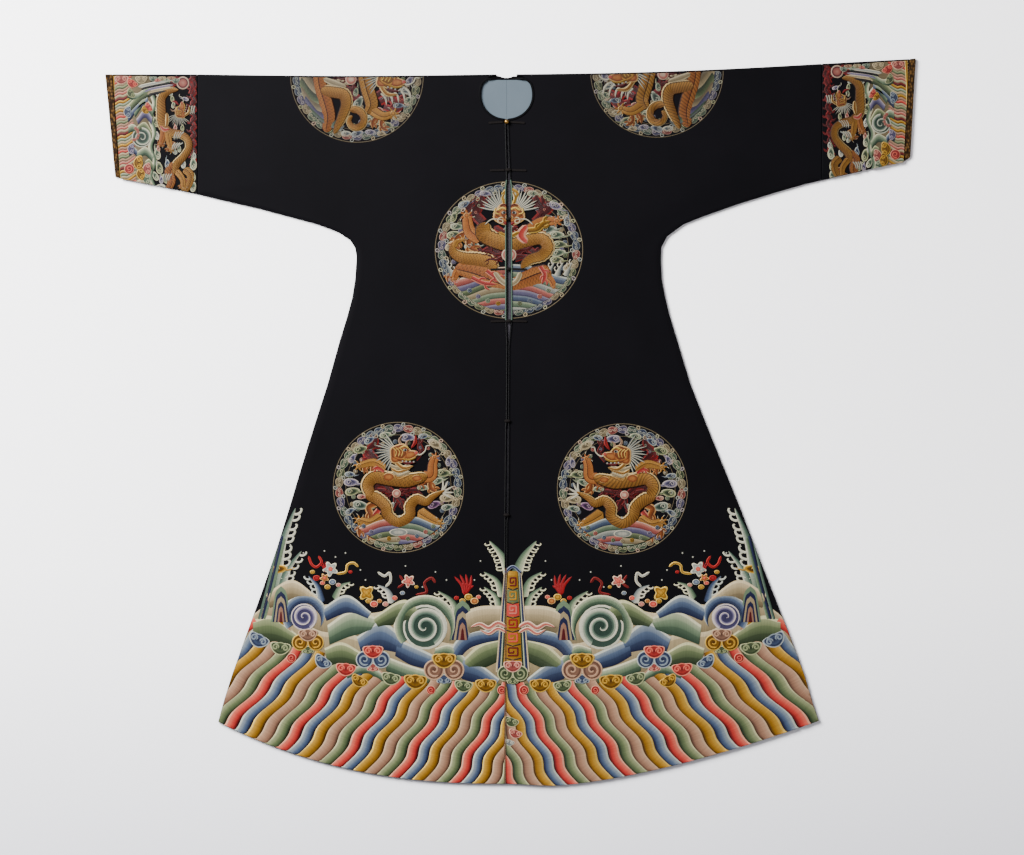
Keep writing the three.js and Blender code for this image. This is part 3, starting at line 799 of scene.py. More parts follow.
class Threads:
    """Stitched patches gathered for one piece: plan, rise, colour, gold and place along the stitch."""

    def __init__(self, height, keep_in, tone=1.0):
        self.height, self.keep_in, self.tone, self.patches = height, keep_in, tone, []

    def build(self, name):
        """One mesh of all patches, kept within the panel, laid on the cloth, faces up, no empty ones."""
        plan = np.vstack([p.reshape(-1, 2) for p, _, _, _, _ in self.patches])
        rise = np.concatenate([r.ravel() for _, r, _, _, _ in self.patches])
        colour = self.tone * np.vstack([c.reshape(-1, 3) for _, _, c, _, _ in self.patches])
        gold = np.concatenate([np.full(r.size, g) for _, r, _, g, _ in self.patches])
        along = np.vstack([a.reshape(-1, 2) for _, _, _, _, a in self.patches])
        faces, start = [], 0
        for patch in self.patches:
            rows, columns = patch[1].shape
            faces.append(grid_faces(rows, columns) + start)
            start += rows * columns
        faces = np.vstack(faces)
        x, y = self.keep_in(plan[:, 0], plan[:, 1])
        a, b, c, d = (np.stack([x, y], -1)[faces[:, k]] for k in range(4))
        area = 0.5 * ((c - a)[:, 0] * (d - b)[:, 1] - (c - a)[:, 1] * (d - b)[:, 0])
        faces[area < 0] = faces[area < 0][:, ::-1]
        faces = faces[np.abs(area) > LEAST_AREA]
        used, inverse = np.unique(faces, return_inverse=True)
        faces = inverse.reshape(-1, 4)
        x, y, rise, colour, gold, along = x[used], y[used], rise[used], colour[used], gold[used], along[used]
        points = np.stack([x, y, self.height(x, y) + rise], -1)
        piece = make_piece(name, points, faces, EMBROIDERY)
        mesh = piece.data
        opaque = np.ones(len(colour))
        thread = mesh.attributes.new("thread", "FLOAT_COLOR", "POINT")
        thread.data.foreach_set("color", np.column_stack([colour, opaque]).astype(np.float32).ravel())
        gilding = mesh.attributes.new("gold", "FLOAT", "POINT")
        gilding.data.foreach_set("value", gold.astype(np.float32))
        corner = np.zeros(len(mesh.loops), np.int32)
        mesh.loops.foreach_get("vertex_index", corner)
        stitch = mesh.uv_layers.new(name="stitch")
        stitch.data.foreach_set("uv", along[corner].astype(np.float32).ravel())
        return piece


class Pen:
    """Draws on threads in its own plan: place = matrix p + origin, p kept within a circle of any limit."""

    def __init__(self, threads, matrix=None, origin=(0.0, 0.0), layer=0.0, limit=None, tone=1.0):
        self.threads = threads
        self.matrix = np.eye(2) if matrix is None else matrix
        self.origin = np.asarray(origin, float)
        self.layer, self.limit, self.tone = layer, limit, tone
        self.size = math.sqrt(abs(np.linalg.det(self.matrix)))

    def at(self, x, y, size=1.0, turn=0.0, mirror=False, layer=0.0, limit=None, tone=1.0):
        """A pen at a place in this one's plan, turned in degrees, sized, and mirrored left to right first."""
        c, s = math.cos(math.radians(turn)), math.sin(math.radians(turn))
        own = size * np.array([[c, -s], [s, c]]) @ np.diag([-1.0 if mirror else 1.0, 1.0])
        there = self.plan(np.array([x, y], float))
        return Pen(self.threads, self.matrix @ own, there, self.layer + layer, limit, self.tone * tone)

    def plan(self, p):
        """Place on the coat of points in this pen's plan."""
        if self.limit is not None:
            reach = np.linalg.norm(p, axis=-1, keepdims=True)
            p = p * np.minimum(1, self.limit / np.maximum(reach, 1e-6))
        return p @ self.matrix.T + self.origin

    def sweep(self, first, second, palette, bands=SHADED, crown=0.45, layer=0, scales=0.0):
        """Banded surface between two lines: rise = layer + crown sqrt(1 - (2s - 1)^2) at share s across."""
        first, second = np.asarray(first, float), np.asarray(second, float)
        step = np.linalg.norm(np.diff(self.plan(first), axis=0), axis=-1)
        length = np.concatenate([[0], np.cumsum(step)])
        base = (self.layer + layer) * LAYER
        for start, end, depth_start, depth_end in bands:
            columns = 2 if end - start < NARROW_BAND else 4
            s = np.linspace(start, end, columns)
            p = first[:, None] * (1 - s[None, :, None]) + second[:, None] * s[None, :, None]
            dome = np.sqrt(np.clip(1 - (2 * s - 1) ** 2, 0, 1))
            rise = np.where(dome > 0, base + LIFT + crown * dome, base + SINK)
            rise = np.broadcast_to(rise, p.shape[:2])
            depth = np.linspace(depth_start, depth_end, columns)
            colour = np.broadcast_to(self.tone * shade(palette, depth), (*p.shape[:2], 3))
            if scales > 0 and depth_start >= 0:
                i, j = np.indices(p.shape[:2])
                colour = colour * (1 - scales * ((i + 2 * j) % 3 == 0))[..., None]
            across = np.linalg.norm(second - first, axis=-1)[:, None] * self.size * s[None, :]
            along = np.stack([np.broadcast_to(length[:, None], p.shape[:2]), across], -1)
            self.threads.patches.append((self.plan(p), rise, colour, GOLDEN.get(palette, 0.0), along))

    def ribbon(self, points, width, palette, bands=OUTLINED, ends="round", count=None, **kept):
        """A band along a smooth line through a few points, its width between those given at even steps."""
        count = count or max(8, 5 * (len(points) - 1) + 1)
        centre = curve(points, count)
        self.trail(centre, width, palette, bands, ends, **kept)

    def trail(self, centre, width, palette, bands=OUTLINED, ends="round", bumps=0, **kept):
        """The same along a line worked out before. Ends: round, blunt or pointed; bumps scallop an edge."""
        centre = np.asarray(centre, float)
        heading = np.gradient(centre, axis=0)
        heading /= np.maximum(np.linalg.norm(heading, axis=1, keepdims=True), 1e-9)
        normal = np.stack([-heading[:, 1], heading[:, 0]], -1)
        t = np.linspace(0, 1, len(centre))
        half = np.interp(t, np.linspace(0, 1, np.size(width)), np.atleast_1d(np.asarray(width, float))) / 2
        if ends == "round":
            near = np.minimum(t, 1 - t) / 0.08
            half = half * np.sqrt(np.clip(1 - (1 - np.clip(near, 0, 1)) ** 2, 0.02, 1))
        elif ends == "pointed":
            half = half * np.clip((1 - t) / 0.25, 0.02, 1)
        outer = half * (1 + (0.12 * np.abs(np.sin(np.pi * bumps * t)) if bumps else 0))
        self.sweep(centre + normal * outer[:, None], centre - normal * half[:, None], palette, bands, **kept)

    def blob(self, outline, palette, rings=RINGS, crown=0.5, layer=0):
        """A closed shape filled from outline to centre in rings: rise = layer + crown sqrt(1 - r^2)."""
        outline = np.asarray(outline, float)
        middle = outline[:-1].mean(axis=0)
        base = (self.layer + layer) * LAYER
        for start, end, depth_start, depth_end in rings:
            r = np.linspace(start, end, 3)
            p = middle + (outline - middle)[None] * r[:, None, None]
            height = np.sqrt(np.clip(1 - r**2, 0, 1))
            rise = np.where(height > 0, base + LIFT + crown * height, base + SINK)
            colour = self.tone * shade(palette, np.linspace(depth_start, depth_end, 3))
            rise = np.broadcast_to(rise[:, None], p.shape[:2])
            colour = np.broadcast_to(colour[:, None], (*p.shape[:2], 3))
            plan = self.plan(p)
            self.threads.patches.append((plan, rise, colour, GOLDEN.get(palette, 0.0), plan - self.origin))

    def spot(self, x, y, radius, palette, rings=RINGS, squash=1.0, **kept):
        """A round or oval blob."""
        self.at(x, y).blob(round_outline(radius, radius * squash), palette, rings, **kept)


def round_outline(half_width, half_height, lobes=0, depth=0.0):
    """Closed outline (a cos q, b sin q) times 1 + depth cos(lobes q)."""
    q = np.linspace(0, 2 * np.pi, max(ROUND_STEPS, lobes * 6 + 1))
    swell = 1 + depth * np.cos(lobes * q)
    return np.stack([half_width * np.cos(q) * swell, half_height * np.sin(q) * swell], -1)


def spiral(x, y, start, end, begin, turns, count=None):
    """Line round (x, y): radius from start to end, angle from begin (degrees) through some turns."""
    t = np.linspace(0, 1, count or max(8, int(abs(turns) * 16)))
    q = math.radians(begin) + 2 * np.pi * turns * t
    r = start + (end - start) * t
    return np.stack([x + r * np.cos(q), y + r * np.sin(q)], -1)


# ---------------------------------------------------------------- embroidery: the traditional motifs


def cloud_head(pen, palette):
    """Cloud head about 2 wide and 1.2 high: a lobed ground, two curls and an arch over them."""
    outline = round_outline(1.0, 0.6, 3, 0.0)
    outline[:, 1] += 0.16 * np.cos(2 * np.linspace(0, 2 * np.pi, len(outline))) - 0.02
    pen.blob(outline, palette, DEEP_RINGS)
    for sign in (-1, 1):
        curl = spiral(0.46 * sign, -0.06, 0.08, 0.32, 90, 1.3 * sign, 18)
        pen.trail(curl, (0.12, 0.16), palette, TINTED, layer=6, crown=0.15)
    arch = [(-0.62, 0.2), (0, 0.42), (0.62, 0.2)]
    pen.ribbon(arch, 0.12, palette, TINTED, layer=6, crown=0.15, count=9)


def hook_head(pen, palette):
    """A single curl about 1.4 across: a round ground with one spiral line on it."""
    pen.spot(0, 0, 0.68, palette, DEEP_RINGS)
    pen.trail(spiral(0, 0, 0.08, 0.46, 200, 1.3, 20), (0.09, 0.15), palette, TINTED, layer=6, crown=0.15)


def trefoil(pen, lobes, cap, foot):
    """Three-lobed cloud about 2.2 wide: two curled lobes, a cap between them and a small foot."""
    cloud_head(pen.at(0, -0.68, 0.42, 180), foot)
    for sign in (-1, 1):
        side = pen.at(0.56 * sign, -0.1, 0.86, 0, mirror=sign > 0, layer=2)
        hook_head(side, lobes)
    cloud_head(pen.at(0, 0.52, 0.7, layer=7), cap)


def cloud(pen, palette):
    """A drifting cloud about 3.2 long: a leaf-shaped ground with a dark heart, a curl and a thin tail."""
    pen.ribbon([(0.6, -0.1), (1.2, -0.3), (2.1, -0.1)], (0.5, 0.3, 0.08), palette, OUTLINED, count=10)
    q = np.linspace(0, 2 * np.pi, 25)
    leaf = np.stack([1.15 * np.cos(q), 0.6 * np.sin(q) * (1 - 0.2 * np.cos(q))], -1)
    pen.blob(leaf, palette, LEAF_RINGS, layer=1)
    pen.trail(spiral(-0.35, 0.02, 0.1, 0.36, 60, -1.2, 16), (0.1, 0.15), palette, LINE, layer=5, crown=0.15)


# A plume's hook: out from its band, then forward, and the widths along it
HOOK_LINE = np.array([(0, -0.3), (0.5, -0.2), (0.95, 0.05), (1.0, 0.42), (0.66, 0.42)])
HOOK_WIDTHS = np.array((0.26, 0.22, 0.16))


def plume(pen, points, width, palette, hooks=5, side=1):
    """Breaking crest of a wave: a band that thins to a curled tip, with small hooks along one side."""
    centre = curve(points, 26)
    t = np.linspace(0, 1, 26)
    half = width * (1 - 0.86 * t)
    pen.trail(centre, half, palette, SHADED if side > 0 else SHADED_BACK)
    heading = np.gradient(centre, axis=0)
    heading /= np.linalg.norm(heading, axis=1, keepdims=True)
    normal = np.stack([-heading[:, 1], heading[:, 0]], -1) * side
    spacing = np.linalg.norm(np.diff(centre, axis=0), axis=1).sum() / (hooks + 1)
    for k in range(hooks + 1):
        i = int(round(4 + 21 * (k + 1) / (hooks + 1))) - 1
        start = centre[i] + normal[i] * half[i] * 0.36
        reach = width * (0.54 - 0.18 * k / (hooks + 1))
        steps = HOOK_LINE * (reach, spacing)
        hook = start + steps[:, :1] * normal[i] + steps[:, 1:] * heading[i]
        pen.ribbon(hook, HOOK_WIDTHS * spacing, palette, LINE, count=11, layer=1, crown=0.3)


SPIRAL_BANDS = ((0.0, 0.34, -1, -1), (0.34, 0.62, 0.0, 0.3), (0.62, 1.0, 0.45, 1))


def rolling_spiral(pen, palette, turns=1.9):
    """Curled wave of radius 1, a banded ribbon wound inwards: r = 0.98 (1 - t)^0.85 + 0.03 outside."""
    pen.spot(0, 0, 1.0, palette, ((1, 0.9, -1, -1), (0.9, 0, 0.9, 1)), crown=0.2)
    t = np.linspace(0, 1, 72)
    q = np.radians(-70) + 2 * np.pi * turns * t
    heading = np.stack([np.cos(q), np.sin(q)], -1)
    outer = 0.98 * (1 - t) ** 0.85 + 0.03
    pitch = 0.36 * (1 - 0.72 * t)
    for start, end, first, last in SPIRAL_BANDS:
        lines = [(outer - pitch * share)[:, None] * heading for share in (start, end)]
        pen.sweep(*lines, palette, ((0, 1, first, last),), crown=0.12, layer=4)


def wave(pen, upper, lower, palette, layer=0):
    """A rolling band between two smooth edges, outline along the upper one and darkest along the lower."""
    pen.sweep(curve(upper, 22), curve(lower, 22), palette, ROLLED, crown=0.7, layer=layer)


def flame(pen, points, width, palette="flame"):
    """A tongue of fire that thins to a point, with short tongues beside it, each edged in a lighter red."""
    pen.ribbon(points, width * 0.75, palette, FIERY, ends="pointed", crown=0.3)
    p = curve(points, 12)
    for k, side in ((3, 1), (6, -1), (8, 1)):
        ahead = p[k + 1] - p[k - 1]
        off = np.array([-ahead[1], ahead[0]]) * side
        tongue = [p[k], p[k] + off * 0.9 + ahead * 0.4, p[k] + off * 1.2 + ahead * 1.4]
        pen.ribbon(tongue, width * 0.36, palette, FIERY, ends="pointed", crown=0.25, count=7)


def claws(pen, palette):
    """A paw of radius 0.4 with five curved toes fanned over 230 degrees, each with a pale nail."""
    for turn in np.linspace(-115, 115, 5):
        toe = pen.at(0, 0, 1, turn)
        nail = [(0.03, 0.85), (-0.06, 1.1), (-0.26, 1.25)]
        toe.ribbon([(0, 0.1), (0.12, 0.6), (0, 0.98)], (0.36, 0.3, 0.16), palette, PLAIN, count=7, crown=0.4)
        toe.ribbon(nail, (0.17, 0.04), "bone", LINE, count=6, layer=2)
    pen.spot(0, 0, 0.42, palette, RINGS, layer=2)


def mane(pen, first, last, count, length):
    """Locks of hair that fan out from a centre at even angles between first and last, in degrees."""
    for k in range(count):
        lock = pen.at(0, 0, 1, first + (last - first) * k / (count - 1))
        reach = length * (1 - 0.16 * (k % 2))
        line = [(0.35, 0), (0.35 + reach * 0.5, 0.07), (0.35 + reach, 0.2)]
        lock.ribbon(line, 0.1, "bone", HALVED, ends="pointed", count=8, crown=0.2)


def body(pen, points, width, palette="ochre", bands=SPINED, layer=4, bumps=0):
    """A stretch of a dragon's body: crowned and scaled, with a pale spine along its first edge."""
    count = 14 * (len(points) - 1)
    pen.trail(curve(points, count), width, palette, bands, layer=layer, crown=0.9, scales=0.62, bumps=bumps)


def limb(pen, points, width, paw, paw_turn, palette="ochre", layer=6):
    """A leg with its paw at the far end and tufts of fire at the joint."""
    x, y = points[-1]
    fire = [(0, 0), (-0.5 * width, -0.7 * width), (-0.2 * width, -1.4 * width)]
    for turn in (-30, 30):
        flame(pen.at(*points[1], 1, turn, layer=layer - 1), fire, width * 0.6, "orange")
    pen.ribbon(points, (width, width * 0.85, width * 0.6), palette, BELLIED, crown=0.7, layer=layer)
    claws(pen.at(x, y, paw, paw_turn, layer=layer + 1), palette)


def head_in_profile(pen, palette="orange"):
    """A dragon's head about 2 wide, looking right: mane, horns, ear, skull, snout, open jaw and whisker."""
    mane(pen.at(-0.25, 0.1), 112, 236, 13, 1.15)
    pen.ribbon([(0.1, 0.5), (-0.05, 0.85), (0.15, 1.15)], (0.2, 0.14, 0.06), "mauve", OUTLINED, layer=1)
    pen.ribbon([(0.4, 0.4), (0.42, 0.7), (0.65, 0.85)], (0.18, 0.12, 0.05), "mauve", OUTLINED, layer=1)
    pen.ribbon([(0.72, 0.3), (0.98, 0.7), (1.02, 1.15)], (0.1, 0.24, 0.08), "coral", OUTLINED, layer=1)
    pen.ribbon([(-0.4, -0.5), (0.15, -0.95), (0.8, -0.85)], (0.26, 0.3, 0.12), "ochre", OUTLINED, layer=3)
    pen.ribbon([(-0.1, -0.45), (0.4, -0.66), (0.95, -0.6)], (0.1, 0.2, 0.1), "flame", PLAIN, layer=4)
    pen.blob(round_outline(0.72, 0.62, 5, 0.05), palette, MOTTLED_RINGS, crown=0.9, layer=4)
    pen.at(-0.3, -0.3, layer=5).blob(round_outline(0.42, 0.34, 3, 0.08), "orange", RINGS, crown=0.5)
    pen.at(0.62, -0.12, 1, 12, layer=5).blob(round_outline(0.52, 0.3, 3, 0.08), "orange", RINGS, crown=0.8)
    pen.ribbon([(0.05, -0.36), (0.55, -0.44), (1.0, -0.3)], (0.1, 0.14, 0.08), "gold", OUTLINED, layer=8)
    for k in range(4):
        pen.spot(0.12 + 0.24 * k, -0.52 - 0.02 * k, 0.06, "bone", FLAT_RINGS, layer=7)
    for x in 0.2 * np.arange(3):
        fold = [(-0.5 + x, 0.4), (-0.25 + x, 0.12), (-0.34 + x, -0.22)]
        pen.ribbon(fold, 0.07, "gold", LINE, layer=10)
    pen.spot(0.3, 0.2, 0.13, "bone", FLAT_RINGS, squash=0.7, layer=9)
    pen.spot(0.32, 0.2, 0.07, "ink", FLAT_RINGS, layer=12)
    pen.ribbon([(0.0, 0.36), (0.3, 0.46), (0.55, 0.3)], 0.11, "gold", LINE, layer=10)
    pen.spot(1.02, 0.0, 0.12, "red", RINGS, layer=9)
    whisker = [(0.9, 0.06), (1.25, -0.14), (1.6, 0.1), (1.7, 0.4), (1.95, 0.42)]
    pen.ribbon(whisker, (0.1, 0.07), "bone", LINE, layer=5)
    mane(pen.at(0.2, -0.85, 0.55), 230, 300, 4, 0.7)


def head_from_front(pen):
    """A dragon's face about 2 wide from the front: mane to both sides, horns, brows, eyes, nose, mouth."""
    for sign in (-1, 1):
        half = pen.at(0, 0, mirror=sign < 0)
        mane(half.at(0.3, 0.2), 0, 88, 11, 1.0)
        half.ribbon([(0.22, 0.5), (0.34, 0.95), (0.18, 1.3)], (0.24, 0.16, 0.06), "gold", OUTLINED, layer=1)
    pen.blob(round_outline(0.82, 0.66, 6, 0.05), "orange", MOTTLED_RINGS, crown=0.9, layer=3)
    for sign in (-1, 1):
        half = pen.at(0, 0, mirror=sign < 0)
        half.at(0.48, -0.16, layer=4).blob(round_outline(0.36, 0.4, 3, 0.08), "orange", RINGS, crown=0.4)
        half.spot(0.28, 0.08, 0.12, "bone", FLAT_RINGS, squash=0.7, layer=9)
        half.spot(0.26, 0.08, 0.07, "ink", FLAT_RINGS, layer=12)
        half.ribbon([(0.08, 0.24), (0.35, 0.36), (0.62, 0.2)], 0.12, "gold", LINE, layer=9)
        half.ribbon([(0.06, 0.42), (0.25, 0.56), (0.5, 0.5)], 0.07, "flame", PLAIN, layer=9)
        half.ribbon([(0.5, -0.02), (0.76, 0.1), (0.7, 0.38)], 0.08, "gold", LINE, layer=9)
        half.trail(spiral(0.42, -0.4, 0.06, 0.22, 90, 1.1, 14), (0.07, 0.09), "cream", LINE, layer=9)
        half.ribbon([(0.3, -0.34), (0.9, -0.3), (1.3, -0.62)], (0.09, 0.05), "bone", LINE, layer=5)
    pen.at(0, -0.2, layer=8).blob(round_outline(0.22, 0.18, 3, 0.12), "ochre", RINGS, crown=0.6)
    pen.ribbon([(-0.3, -0.5), (0, -0.6), (0.3, -0.5)], 0.14, "coral", PLAIN, layer=8)
    mane(pen.at(0, -0.55, 0.6), 225, 315, 6, 0.8)


def pearl(pen):
    """A round pearl of radius 1 with tongues of fire to both sides."""
    for turn in (20, -10, 170, 195):
        side = pen.at(0, 0, 1, turn)
        flame(side, [(0.9, 0), (1.8, 0.25), (2.7, -0.05), (3.6, 0.2)], 0.5, "flame")
    pen.spot(0, 0, 1.0, "pink", PEARL_RINGS, layer=3, crown=1.0)
    pen.trail(spiral(0.05, 0, 0.1, 0.55, 0, 1.2, 16), 0.16, "bone", LINE, layer=8, crown=0.2)


RING_PALETTES = (
    "blue", "blue", "lavender", "cream", "sea", "sea", "green", "cream", "pink", "lavender", "grey",
)


RING_INNER, RING_OUTER = 0.83, 0.975


def scroll_ring(pen, count=38, start=0.0, stop=360.0):
    """A roundel's frame: small dark cloud heads turned in and out by turns, curls between, two fine lines."""
    middle = (RING_OUTER + RING_INNER) / 2
    each = (stop - start) / count
    for k in range(count):
        angle = start + each * (k + 0.5)
        x, y = middle * math.cos(math.radians(angle)), middle * math.sin(math.radians(angle))
        palette = RING_PALETTES[k % len(RING_PALETTES)]
        spin = angle - 90 if k % 2 else angle + 90
        head = pen.at(x, y, math.pi * middle / 360 * each * 1.1, spin)
        head.blob(round_outline(0.98, 0.72, 3, 0.08), palette, DARK_RINGS, crown=0.2)
        for sign in (-1, 1):
            curl = spiral(0.44 * sign, -0.08, 0.04, 0.36, 90, 1.35 * sign, 18)
            head.trail(curl, (0.09, 0.13), palette, LINE, layer=4, crown=0.1)
        reach = 0.96 if k % 2 == 0 else RING_INNER + 0.02
        angle += each / 2
        x, y = reach * math.cos(math.radians(angle)), reach * math.sin(math.radians(angle))
        palette = RING_PALETTES[(k + 4) % len(RING_PALETTES)]
        pen.trail(spiral(x, y, 0.008, 0.036, spin, 1.3, 12), (0.01, 0.014), palette, LINE, layer=3, crown=0.1)
    q = np.radians(np.linspace(start, stop, 8 * count + 1))
    for r, width in ((0.99, 0.011), (RING_INNER - 0.03, 0.007)):
        line = r * np.stack([np.cos(q), np.sin(q)], -1)
        pen.trail(line, width, "cream", ((0, 1, 0.5, 0.8),), ends="blunt", layer=1, crown=0.2)


# Silks of the sea's waves, for its two sides, and of the curls along its edge
SEA_BANDS = (("pink", "blue"), ("lavender", "sea"), ("green", "bone"), ("cream", "pink"), ("sea", "lavender"))
SEA_CURLS = ("blue", "lavender", "sea", "gold", "cream", "green", "blue", "pink", "sea")


def roundel_sea(pen, limit=0.86, top=-0.47, count=6):
    """The sea at the foot of a roundel: banded waves that fall from the middle outwards, curls below."""
    sea = pen.at(0, 0, 1, limit=limit)
    for k in range(count):
        for sign, palette in zip((-1, 1), SEA_BANDS[k % len(SEA_BANDS)]):
            y = top - 0.085 * k + 0.02 * sign
            far = (sign * (0.86 - 0.03 * k), y - 0.2)
            upper = [far, (sign * 0.56, y - 0.12), (sign * 0.28, y - 0.01), (0, y + 0.02)]
            lower = [(x * 0.94, line_y - 0.15) for x, line_y in upper]
            wave(sea, upper, lower, palette, layer=k * 0.6)
    sea.blob(round_outline(0.15, 0.06) + np.array([0.0, top - 0.22]), "bone", RINGS, layer=5)
    for k, palette in enumerate(SEA_CURLS):
        angle = math.radians(228 + 10.5 * k)
        curl = pen.at(0.79 * math.cos(angle), 0.79 * math.sin(angle), 0.05, 20 * k, layer=7)
        hook_head(curl, palette)


def spray(pen, radius, size, first, last, count):
    """Small curls in a row round a circle, between two angles in degrees, in the ring's order of silks."""
    for k in range(count):
        angle = math.radians(first + (last - first) * k / (count - 1))
        reach = radius * (1 - 0.07 * (k % 2))
        curl = pen.at(reach * math.cos(angle), reach * math.sin(angle), size, 70 * k)
        hook_head(curl, RING_PALETTES[(3 * k) % len(RING_PALETTES)])


def clouds(pen, rows):
    """Small drifting clouds from a table of x, y, size, turn and palette."""
    for x, y, size, turn, palette in rows:
        cloud(pen.at(x, y, size, turn), palette)


# ---------------------------------------------------------------- embroidery: where it goes


BORDER_AXIS = 5.0
PILLAR_TOP = -298.0
# How far stitches keep from the hem, the fold, the sides and the opening (beside the pillar and above it)
HEM_MARGIN, FOLD_MARGIN, SIDE_MARGIN, PILLAR_MARGIN, OPENING_MARGIN = 0.8, 3.7, 0.9, 0.15, 0.9
SIDE_TOP, SLEEVE_REACH = 320, 620.0
HEM_STRETCH = {"right": 0.0, "left": 0.037}
HEM_REACH = 590


def keep_in_half(side, stretch=0.0):
    """Keeps stitches within a front; stretch widens them outwards by 1 + stretch (x / reach)^2."""
    u = np.linspace(0, 1, 240)
    hem_x, hem_y = half_plan(side, "front", u, np.full_like(u, HEM_ROW))
    fold_x, fold_y = half_plan(side, "front", u, np.zeros_like(u))
    rows = np.linspace(UNDERARM_ROW, HEM_ROW, 240)
    side_x, side_y = half_plan(side, "front", np.ones_like(rows), rows)
    sign = SIDE_SIGN[side]
    across = np.argsort(hem_x)
    fold_order = np.argsort(fold_x)

    def keep(x, y):
        x = BORDER_AXIS + (x - BORDER_AXIS) * (1 + stretch * ((x - BORDER_AXIS) / HEM_REACH) ** 2)
        y = np.maximum(y, np.interp(x, hem_x[across], hem_y[across]) + HEM_MARGIN)
        y = np.minimum(y, np.interp(x, fold_x[fold_order], fold_y[fold_order]) - FOLD_MARGIN)
        inner = centre_x(side, "front", y) + sign * np.where(y < PILLAR_TOP, PILLAR_MARGIN, OPENING_MARGIN)
        seam = np.interp(y, side_y[::-1], side_x[::-1])
        outer = np.where(y < SIDE_TOP, seam, sign * SLEEVE_REACH) - sign * SIDE_MARGIN
        return np.clip(x, np.minimum(inner, outer), np.maximum(inner, outer)), y

    return keep


def front_threads(side, tone, stretch=0.0):
    """Threads laid on one front of the coat."""
    return Threads(lambda x, y: cloth_height(side, x, y), keep_in_half(side, stretch), tone)


# Standing water: bands that slant out and down from the waves to the hem, counted from the middle outwards
STRIPE_ORDER = ("red", "green", "mauve", "gold", "blue")
STRIPE_SHARES = {"red": 0.98, "green": 1.08, "mauve": 1.12, "gold": 1.06, "blue": 0.98}
STRIPED = (
    (0, 0.1, 1, 1), (0.1, 0.24, 1, 0.75), (0.24, 0.56, 0.7, 0.3),
    (0.56, 0.9, 0.25, -0.1), (0.9, 1, -0.2, -0.7),
)
FIRST_STRIPE, LAST_STRIPE = -6, 25
STRIPE_START, STRIPE_RISE, STRIPE_LENGTH = -536.0, 188.0, 300
STRIPE_INSET, STRIPE_STEP, STRIPE_GROWTH = 16, 20.6, 0.19
STRIPE_SLOPE, STRIPE_SLOPE_GROWTH = 0.53, 0.018
STRIPE_OVERLAP = 1.14
STRIPE_SWING = {"height": 5.0, "length": 72, "lag": 0.35}


def stripe_offset(q):
    """Distance of stripe q from the axis at the starting level: inset + step q + growth q^2."""
    return STRIPE_INSET + STRIPE_STEP * q + STRIPE_GROWTH * q**2


def standing_water(pen):
    """The slanting bands: x = axis - d(q) - m(q) (y0 - y) with waves of 72 mm, each as wide as its share."""
    u = np.linspace(0, 1, 200)
    hem_x, hem_y = half_plan("right", "front", u, np.full_like(u, HEM_ROW))
    for q in range(FIRST_STRIPE, LAST_STRIPE + 1):
        slope = STRIPE_SLOPE + STRIPE_SLOPE_GROWTH * q
        width = (STRIPE_STEP + 2 * STRIPE_GROWTH * q) * math.cos(math.atan(slope)) * STRIPE_OVERLAP
        top = np.interp(BORDER_AXIS - stripe_offset(q), hem_x[::-1], hem_y[::-1]) + STRIPE_RISE + 14
        y = np.linspace(top, top - STRIPE_LENGTH, 60)
        phase = 2 * np.pi * (STRIPE_START - y) / STRIPE_SWING["length"] + STRIPE_SWING["lag"] * q
        swing = STRIPE_SWING["height"] * np.sin(phase)
        x = BORDER_AXIS - stripe_offset(q) - slope * (STRIPE_START - y) + swing
        palette = STRIPE_ORDER[q % len(STRIPE_ORDER)]
        line = np.stack([x, y], -1)
        pen.trail(line, width * STRIPE_SHARES[palette], palette, STRIPED, ends="blunt", crown=1.5)


# Heads of the stripes: x, y, width, turn, palette, and whether it is a single curl
STRIPE_HEADS = (
    (-503, -434, 44, -28, "blue", False),
    (-460, -450, 42, -8, "green", False),
    (-438, -472, 28, 0, "red", True),
    (-375, -478, 38, -35, "blue", False),
    (-329, -492, 42, -6, "red", False),
    (-302, -516, 36, -30, "gold", False),
    (-239, -511, 40, -12, "green", False),
    (-190, -516, 48, -4, "gold", False),
    (-159, -536, 26, 0, "red", True),
    (-94, -526, 38, -8, "green", False),
    (-49, -524, 44, 0, "gold", False),
    (-17, -536, 28, 0, "red", True),
)
# x, y, width, and the silks of lobes, cap and foot
TREFOILS = (
    (-405, -438, 62, "gold", "mauve", "green"),
    (-275, -472, 66, "blue", "red", "pink"),
    (-133, -492, 78, "mauve", "gold", "blue"),
)
